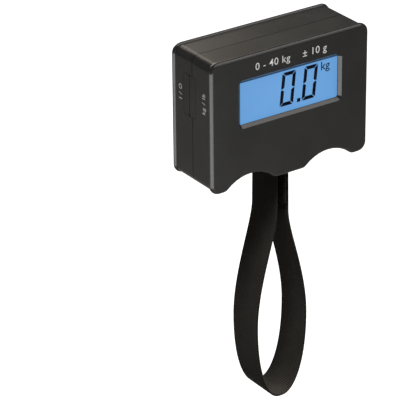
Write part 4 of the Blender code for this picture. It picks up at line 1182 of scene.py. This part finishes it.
@dataclass
class Display(Assembly):
    """The clear pane, the lit glass with its reading, the frame and the light panel behind."""

    finishes = {
        "clear_window": ("display_window",),
        "lcd_panel": ("lcd_glass",),
        "frame_plastic": ("lcd_frame",),
        "diffuser": ("backlight_panel",),
        "elastomer": ("zebra_connector",),
    }
    digit_width: float = 0.0076
    digit_height: float = 0.0165
    bar: float = 0.00175
    bar_gap: float = 0.00025
    lean: float = 0.105
    base_z: float = -0.0315
    first_x: float = -0.0041
    second_x: float = 0.0083
    point_x: float = 0.0057
    unit_place: Flat = (0.0190, -0.0190)
    unit_height: float = 0.0040
    ink_lift: float = 0.00005

    def segment(self, which: Segment) -> list[Flat]:
        """A bar's corners inside a digit whose lower left corner is the origin.

        Args:
            which: The bar wanted.

        Returns:
            Its corners, upright, before the digit leans.
        """
        w, h, t, g = self.digit_width, self.digit_height, self.bar, self.bar_gap
        half = h / 2
        if which in (Segment.TOP, Segment.BOTTOM):
            flat = [(g * 1.6, 0), (w - g * 1.6, 0), (w - t - g * 0.4, t), (t + g * 0.4, t)]
            return flat if which is Segment.BOTTOM else [(x, h - y) for x, y in reversed(flat)]
        low = [(0, g * 1.6), (t, t + g * 0.6), (t, half - t / 2 - g * 0.4), (t / 2, half - g), (0, half - g)]
        if which in (Segment.UPPER_LEFT, Segment.UPPER_RIGHT):
            low = [(x, h - y) for x, y in reversed(low)]
        if which in (Segment.LOWER_RIGHT, Segment.UPPER_RIGHT):
            low = [(w - x, y) for x, y in reversed(low)]
        return low

    def leaning(self, corners: Iterable[Flat]) -> list[Flat]:
        """The corners pushed sideways by their height."""
        return [(x + z * self.lean, z) for x, z in corners]

    def reading(self, shop: Workshop) -> None:
        """Shows 0.0 and the unit on the glass, just in front of its lit face.

        Args:
            shop: Where pieces are dressed and added.
        """
        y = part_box("lcd_glass")[0].y - self.ink_lift
        style = Lettering(self.digit_height)
        for name, left in (("first_digit", self.first_x), ("second_digit", self.second_x)):
            placed = facing((left, y, self.base_z), RIGHT, UP)
            bars = [style.outline(name, self.leaning(self.segment(bar)), placed) for bar in Segment]
            shop.add(name, joined(name, bars), "crystal_ink", Body.CASE, Slot.LCD)
        side = self.bar * 1.05
        placed = facing((self.point_x, y, self.base_z), RIGHT, UP)
        square = self.leaning(((0, 0), (side, 0), (side, side), (0, side)))
        point = style.outline("decimal_point", square, placed)
        shop.add("decimal_point", point, "crystal_ink", Body.CASE, Slot.LCD)
        placed = facing((self.unit_place[0], y, self.unit_place[1]), RIGHT, UP)
        unit = Lettering(self.unit_height, bolder=0.00002).text("unit_sign", "kg", placed)
        shop.add("unit_sign", unit, "unit_ink", Body.CASE, Slot.LCD)


# ---------------------------------------------------------------- strap


@dataclass
class StrapLoop:
    """The loop of ribbed webbing over the pin, its sewn-down tail and the bar tacks."""

    width: float = 0.0195
    thickness: float = 0.0012
    pin_z: float = -0.0560
    path_radius: float = 0.00295
    neck: Flat = (0.00325, -0.0873)
    neck_ease: float = 0.0111
    widest: Flat = (0.0142, -0.1450)
    widest_rise: float = 0.0228
    widest_fall: float = 0.0269
    bottom: Flat = (0.0009, -0.1852)
    bottom_ease: float = 0.0064
    rib_pitch: float = 0.00105
    rib_rise: float = 0.00003
    tail_top: float = -0.0600
    tail_bottom: float = -0.0830
    tack_rows: int = 8
    first_tack: float = -0.0684
    tack_pitch: float = 0.0016
    tack_margin: float = 0.0015
    stitch_pitch: float = 0.00115
    stitch_length: float = 0.00095
    stitch_tilt: float = 0.25
    thread: float = 0.00013

    def bezier(self, p: Flat, q: Flat, r: Flat, s: Flat, steps: int = 60) -> list[Flat]:
        """Points along a cubic curve with those four handles.

        Args:
            p: Its start.
            q: The first handle.
            r: The second handle.
            s: Its end.
            steps: How many steps it is cut into.

        Returns:
            The points.
        """
        made = []
        for i in range(steps + 1):
            t = i / steps
            k = ((1 - t) ** 3, 3 * t * (1 - t) ** 2, 3 * t * t * (1 - t), t**3)
            made.append(tuple(sum(c * v[j] for c, v in zip(k, (p, q, r, s))) for j in (0, 1)))
        return made

    def route(self, steps: int = 24) -> list[Flat]:
        """The strap's middle line in X and Z, once round from the left of the pin.

        Args:
            steps: How many steps the turn over the pin has.

        Returns:
            The corners of the closed path.
        """
        turns = [pi - pi * i / steps for i in range(steps + 1)]
        over = [(self.path_radius * cos(a), self.pin_z + self.path_radius * sin(a)) for a in turns]
        rise = (self.widest[0], self.widest[1] + self.widest_rise)
        spread = self.bezier(self.neck, (self.neck[0], self.neck[1] - self.neck_ease), rise, self.widest)
        fall = (self.widest[0], self.widest[1] - self.widest_fall)
        low = (self.bottom[0] + self.bottom_ease, self.bottom[1])
        right = [*spread, *self.bezier(self.widest, fall, low, self.bottom)[1:]]
        return over + right + [(-x, z) for x, z in reversed(right)]

    def evenly(self, path: Sequence[Flat], step: float) -> list[tuple[Flat, float]]:
        """The closed path cut into an even number of equal steps near the one given.

        Args:
            path: Its corners.
            step: The step wanted.

        Returns:
            Each point with its distance along the path.
        """
        closed = [*path, path[0]]
        lengths = [hypot(b[0] - a[0], b[1] - a[1]) for a, b in zip(closed, closed[1:])]
        total = sum(lengths)
        count = 2 * round(total / step / 2)
        made, index, passed = [], 0, 0.0
        for i in range(count):
            want = total * i / count
            while passed + lengths[index] < want:
                passed += lengths[index]
                index += 1
            t = (want - passed) / max(lengths[index], 1e-12)
            a, b = closed[index], closed[index + 1]
            made.append(((a[0] + (b[0] - a[0]) * t, a[1] + (b[1] - a[1]) * t), want))
        return made

    def section(self) -> list[Flat]:
        """The cross-section as places across and through the webbing, with a rolled edge on each side.

        Returns:
            The places, once round.
        """
        t = self.thickness / 2
        inner = self.width / 2 - t
        shares = (0.3, 0.6, 0.86, 0.90, 0.93, 0.965, 1.0)
        top = []
        for share in (*(-v for v in reversed(shares)), 0.0, *shares):
            edge = abs(share)
            top.append((share * inner, t * (1.0 if edge > 0.93 else 0.90 if edge > 0.89 else 0.96)))
        turn = [(inner + t * sin(a), t * cos(a)) for a in map(radians, range(30, 180, 30))]
        return top + turn + [(x, -y) for x, y in reversed(top)] + [(-x, -y) for x, y in turn]

    def weave(self, shop: Workshop, name: str, rings: Sequence[Ring], closed: bool) -> Piece:
        """Adds webbing along a row of rings, with a lengthwise map of its own.

        Args:
            shop: Where the piece is added.
            name: The piece's name.
            rings: For each ring its middle, its outward direction, its distance along and its rise.
            closed: Whether the last ring joins the first.

        Returns:
            The new piece.
        """
        shape = self.section()
        flat_to = self.width / 2 - self.thickness * 0.6
        points, lay = [], []
        for middle, out, _, rise in rings:
            for y, through in shape:
                rib = rise * (1.0 if abs(y) < flat_to else 0.35)
                lift = through + (rib if through > 0 else -rib)
                points.append((middle[0] + out[0] * lift, y, middle[1] + out[1] * lift))
        faces = skin(len(rings), len(shape), closed)
        whole = rings[-1][2] + rings[1][2] - rings[0][2]
        for face in faces:
            wraps = closed and face[0] // len(shape) == len(rings) - 1
            for row, k in (divmod(corner, len(shape)) for corner in face):
                lay.append((whole if wraps and row == 0 else rings[row][2], shape[k][0]))
        mesh = mesh_from(name, points, faces)
        for corner, place in zip(mesh.uv_layers.new(name=WEBBING_MAP).data, lay):
            corner.uv = place
        made = bmesh.new()
        made.from_mesh(mesh)
        bmesh.ops.recalc_face_normals(made, faces=made.faces)
        made.to_mesh(mesh)
        made.free()
        mesh.shade_smooth()
        return shop.add(name, mesh, "webbing", Body.STRAP, Slot.WEBBING)

    def loop(self, shop: Workshop) -> Piece:
        """Weaves the loop, whose ribs stand up on every second ring.

        Args:
            shop: Where pieces are dressed and added.

        Returns:
            The loop.
        """
        cut = self.evenly(self.route(), self.rib_pitch / 2)
        rings = []
        for i, (middle, along) in enumerate(cut):
            before, after = cut[i - 1][0], cut[(i + 1) % len(cut)][0]
            dx, dz = after[0] - before[0], after[1] - before[1]
            long = hypot(dx, dz)
            rise = self.rib_rise if i % 2 else -self.rib_rise
            rings.append((middle, (-dz / long, dx / long), along, rise))
        loop = self.weave(shop, "webbing_loop", rings, closed=True)
        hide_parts("load_strap")
        return loop

    def tail(self, shop: Workshop) -> Piece:
        """Lays the sewn-down tail against the right leg's inner face, with its ends melted thin.

        Args:
            shop: Where pieces are dressed and added.

        Returns:
            The tail.
        """
        x = self.path_radius - self.thickness
        steps = round((self.tail_top - self.tail_bottom) / (self.rib_pitch / 2))
        rings = []
        for i in range(steps + 1):
            z = self.tail_top + (self.tail_bottom - self.tail_top) * i / steps
            rise = self.rib_rise if i % 2 else -self.rib_rise
            end = min(i, steps - i)
            if end < 2:
                rise = -self.rib_rise * (4 - 2 * end)
            rings.append(((x, z), (-1.0, 0.0), i * self.rib_pitch / 2, rise))
        return self.weave(shop, "webbing_tail", rings, closed=False)

    def stitch(self, middle: Vector, along: Vector, out: Vector) -> list[Vector]:
        """One pulled-down stitch: a short bow of thread.

        Args:
            middle: Its middle.
            along: Its direction.
            out: The way that it stands out.

        Returns:
            Its points, ring by ring.
        """
        side = out.cross(along)
        points = []
        for i in range(STITCH_RINGS):
            t = i / (STITCH_RINGS - 1) * 2 - 1
            radius = self.thread * (0.35 + 0.65 * (1 - t * t) ** 0.5)
            core = middle + along * (t * self.stitch_length / 2) + out * (self.thread * 0.7 * (1 - t * t))
            for k in range(STITCH_SIDES):
                a = 2 * pi * k / STITCH_SIDES
                points.append(core + side * (radius * cos(a)) + out * (radius * sin(a)))
        return points

    def tacks(self, shop: Workshop) -> list[Piece]:
        """Sews rows of short stitches through the tail and the leg, seen on both faces.

        Args:
            shop: Where pieces are dressed and added.

        Returns:
            The stitches of each face.
        """
        wall = skin(STITCH_RINGS, STITCH_SIDES, closed=False)
        count = round((self.width - 2 * self.tack_margin) / self.stitch_pitch)
        sewn = []
        for name, layers, sign in (("inner_tacks", -1.5, -1.0), ("outer_tacks", 0.5, 1.0)):
            x = self.path_radius + layers * self.thickness
            points, faces = [], []
            for row in range(self.tack_rows):
                z = self.first_tack - row * self.tack_pitch
                for i in range(count + 1):
                    y = -self.width / 2 + self.tack_margin + i * self.stitch_pitch
                    tilt = self.stitch_tilt if (i + row) % 2 else -self.stitch_tilt
                    along = Vector((0.0, cos(tilt), sin(tilt)))
                    faces += [tuple(len(points) + k for k in face) for face in wall]
                    points += self.stitch(Vector((x, y, z)), along, Vector((sign, 0.0, 0.0)))
            mesh = mesh_from(name, points, faces)
            mesh.uv_layers.new(name=WEBBING_MAP)
            sewn.append(shop.add(name, mesh, "stitch_thread", Body.STRAP, Slot.WEBBING))
        return sewn


# ---------------------------------------------------------------- inside and back


class Buttons(Assembly):
    """The two side buttons with the switches that they press and their upright board."""

    finishes = {
        "button_plastic": ("on_off_button", "unit_tare_button"),
        "switch_plastic": ("on_off_switch", "unit_tare_switch"),
        "plunger_plastic": ("on_off_plunger", "unit_tare_plunger"),
        "circuit_board": ("button_board",),
    }


class Electronics(Assembly):
    """The main board, what is soldered to it, and the leads that reach it."""

    finishes = {
        "circuit_board": ("main_board",),
        "epoxy": ("chip_on_board",),
        "capacitor_sleeve": ("filter_capacitor",),
        "red_insulation": ("battery_lead_positive",),
        "black_insulation": ("battery_lead_negative",),
        "grey_insulation": ("load_cell_cable",),
        "bright_steel": ("crystal", *numbered("board_screw", 4)),
    }


class Weighing(Assembly):
    """The bending beam with its gauges, the bracket that holds it and the yoke that the strap pulls on."""

    finishes = {
        "aluminium_bar": ("load_cell",),
        "silicone": ("gauge_cover_top", "gauge_cover_bottom"),
        "zinc_steel": ("load_bracket", "strap_yoke"),
        "bright_steel": (
            "strap_pin",
            "pin_clip",
            "yoke_screw",
            *numbered("bracket_screw", 2),
            *numbered("cell_screw", 2),
        ),
    }


class BatteryBay(Assembly):
    """The coin cell, its holder and contacts, and the turning lid with its seal."""

    finishes = {
        "cell_steel": ("battery_cell",),
        "holder_plastic": ("battery_holder",),
        "spring_brass": ("positive_contact", "negative_contact"),
        "case_plastic": ("battery_lid",),
        "seal_rubber": ("lid_seal",),
        "bright_steel": numbered("holder_screw", 2),
    }


# ---------------------------------------------------------------- studio


@dataclass(frozen=True)
class Lamp:
    """A soft rectangular lamp, unseen by the camera.

    Args:
        name: Its name.
        at: Where it is.
        size: Its width and height.
        power: Its power in watts.
        color: Its colour.
        target: What it faces.
    """

    name: str
    at: Point
    size: Flat
    power: float
    color: Color
    target: Point = (0.0, 0.0, -0.05)

    def hang(self) -> Piece:
        """Adds the lamp to the scene.

        Returns:
            The lamp.
        """
        data = bpy.data.lights.new(self.name, "AREA")
        data.shape = "RECTANGLE"
        data.size, data.size_y = self.size
        data.energy = self.power
        data.color = self.color
        lamp = linked(self.name, data)
        lamp.location = self.at
        toward = Vector(self.target) - Vector(self.at)
        lamp.rotation_euler = toward.to_track_quat("-Z", "Y").to_euler()
        lamp.visible_camera = False
        return lamp


@dataclass
class Studio:
    """A pale floor, soft light from large lamps and a curved sheet, and the camera."""

    camera_at: Point = (-0.66943, -0.92936, 0.47779)
    camera_right: Point = (0.82522, -0.56474, -0.00934)
    camera_up: Point = (0.25583, 0.35899, 0.89759)
    lens: float = 245.31
    far_end: float = 60.0
    floor_drop: float = 0.30
    floor_side: float = 30.0
    world_light: float = 0.13
    sheet_glow: float = 4.3
    sheet_radius: float = 0.50
    sheet_turns: Flat = (152.0, 283.0)
    sheet_heights: Flat = (-0.36, -0.14)
    sheet_steps: int = 24
    lamps: tuple[Lamp, ...] = (
        Lamp("key_lamp", (0.25, -0.35, 1.00), (1.4, 0.9), 10.0, (1.0, 0.98, 0.96)),
        Lamp("front_lamp", (0.62, -0.95, 0.50), (0.6, 0.5), 1.6, (1.0, 0.98, 0.96)),
        Lamp("back_lamp", (0.25, 1.15, 0.40), (0.7, 0.7), 6.0, (1.0, 0.90, 0.76)),
    )
    strap_lamp: Lamp = Lamp(
        "strap_lamp", (-0.32, -0.30, 1.02), (0.4, 0.4), 16.0, (1.0, 0.97, 0.92), target=(0.0, 0.0, -0.15)
    )

    def camera(self) -> None:
        """Sets up the camera."""
        data = bpy.data.cameras.new("view")
        data.lens = self.lens
        data.clip_end = self.far_end
        camera = linked("view", data)
        right, up = Vector(self.camera_right).normalized(), Vector(self.camera_up).normalized()
        turned = Matrix((right, up, right.cross(up))).transposed().to_4x4()
        camera.matrix_world = Matrix.Translation(self.camera_at) @ turned
        bpy.context.scene.camera = camera

    def stand(self, name: str, mesh: Mesh, material: Material) -> Piece:
        """Adds a piece of the studio, which isn't part of the object.

        Args:
            name: Its name.
            mesh: Its mesh.
            material: Its material.

        Returns:
            The new object.
        """
        obj = linked(name, mesh)
        mesh.materials.append(material)
        obj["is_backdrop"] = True
        return obj

    def floor(self, lowest: float) -> None:
        """Lays the pale floor under the object.

        Args:
            lowest: The object's lowest height.
        """
        half, z = self.floor_side / 2, lowest - self.floor_drop
        corners = [(-half, -half, z), (half, -half, z), (half, half, z), (-half, half, z)]
        s = Surface("pale_floor")
        s.plain(Base_Color=(0.50, 0.50, 0.50), Roughness=0.9, Specular_IOR_Level=0.1)
        path = s.wiring.add("ShaderNodeLightPath")
        s.plain(Emission_Color=(1.0, 1.0, 1.0), Emission_Strength=path.outputs["Is Camera Ray"])
        self.stand("floor", mesh_from("floor", corners, [(0, 1, 2, 3)], smooth=False), s.material)

    def only(self, light: Piece, lit: Iterable[Piece]) -> None:
        """Lets a light reach those pieces alone.

        Args:
            light: The light.
            lit: The pieces.
        """
        receivers = bpy.data.collections.new(f"lit_by_{light.name}")
        for obj in lit:
            receivers.objects.link(obj)
        light.light_linking.receiver_collection = receivers

    def light_sheet(self, lit: Iterable[Piece]) -> None:
        """Stands a curved glowing sheet low at the front left, which draws a soft line on roundings.

        Args:
            lit: The pieces that it lights. The webbing hangs in its shade.
        """
        first, last = (radians(turn) for turn in self.sheet_turns)
        points = []
        for i in range(self.sheet_steps + 1):
            a = first + (last - first) * i / self.sheet_steps
            x, y = self.sheet_radius * cos(a), self.sheet_radius * sin(a)
            points += [(x, y, z) for z in self.sheet_heights]
        faces = [(2 * i, 2 * i + 1, 2 * i + 3, 2 * i + 2) for i in range(self.sheet_steps)]
        s = Surface("sheet_glow")
        s.plain(Base_Color=(0.0, 0.0, 0.0), Emission_Color=(0.97, 0.98, 1.0))
        s.plain(Emission_Strength=self.sheet_glow)
        sheet = self.stand("light_sheet", mesh_from("light_sheet", points, faces), s.material)
        sheet.visible_camera = False
        self.only(sheet, lit)

    def light(self, strap: Iterable[Piece]) -> None:
        """Sets the surroundings and the lamps.

        Args:
            strap: The webbing and its stitches, which get a lamp of their own from the upper left.
        """
        world = bpy.data.worlds.new("studio")
        bpy.context.scene.world = world
        world.use_nodes = True
        world.node_tree.nodes.clear()
        w = Wiring(world.node_tree)
        path = w.add("ShaderNodeLightPath")
        glow = w.add("ShaderNodeBackground")
        glow.inputs["Color"].default_value = (1.0, 1.0, 1.0, 1.0)
        seen = w.line(path.outputs["Is Camera Ray"], 1.0 - self.world_light, self.world_light)
        w.put(glow.inputs["Strength"], seen)
        w.put(w.add("ShaderNodeOutputWorld").inputs["Surface"], glow.outputs[0])
        for lamp in self.lamps:
            lamp.hang()
        self.only(self.strap_lamp.hang(), strap)
        bpy.context.scene.view_settings.view_transform = "Standard"


# ---------------------------------------------------------------- all of it


def main() -> None:
    """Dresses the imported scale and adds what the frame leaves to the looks."""
    logging.basicConfig(level=logging.INFO, format="%(message)s")
    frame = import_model()
    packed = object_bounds()
    shop = Workshop(frame["nodes"], Paints())

    case = CaseShell()
    case.dress(shop)
    case.seam_tongue(shop)
    case.front_print(shop)
    case.side_print(shop)

    display = Display()
    display.dress(shop)
    display.reading(shop)

    for inner in (Buttons(), Electronics(), Weighing(), BatteryBay()):
        inner.dress(shop)

    strap = StrapLoop()
    webbing = [strap.loop(shop), strap.tail(shop), *strap.tacks(shop)]

    studio = Studio()
    studio.camera()
    studio.floor(packed[0].z)
    studio.light(webbing)
    shell = ("front_cover", "rear_cover", "on_off_button", "unit_tare_button")
    studio.light_sheet([frame["nodes"][name] for name in shell])


if __name__ == "__main__":
    main()
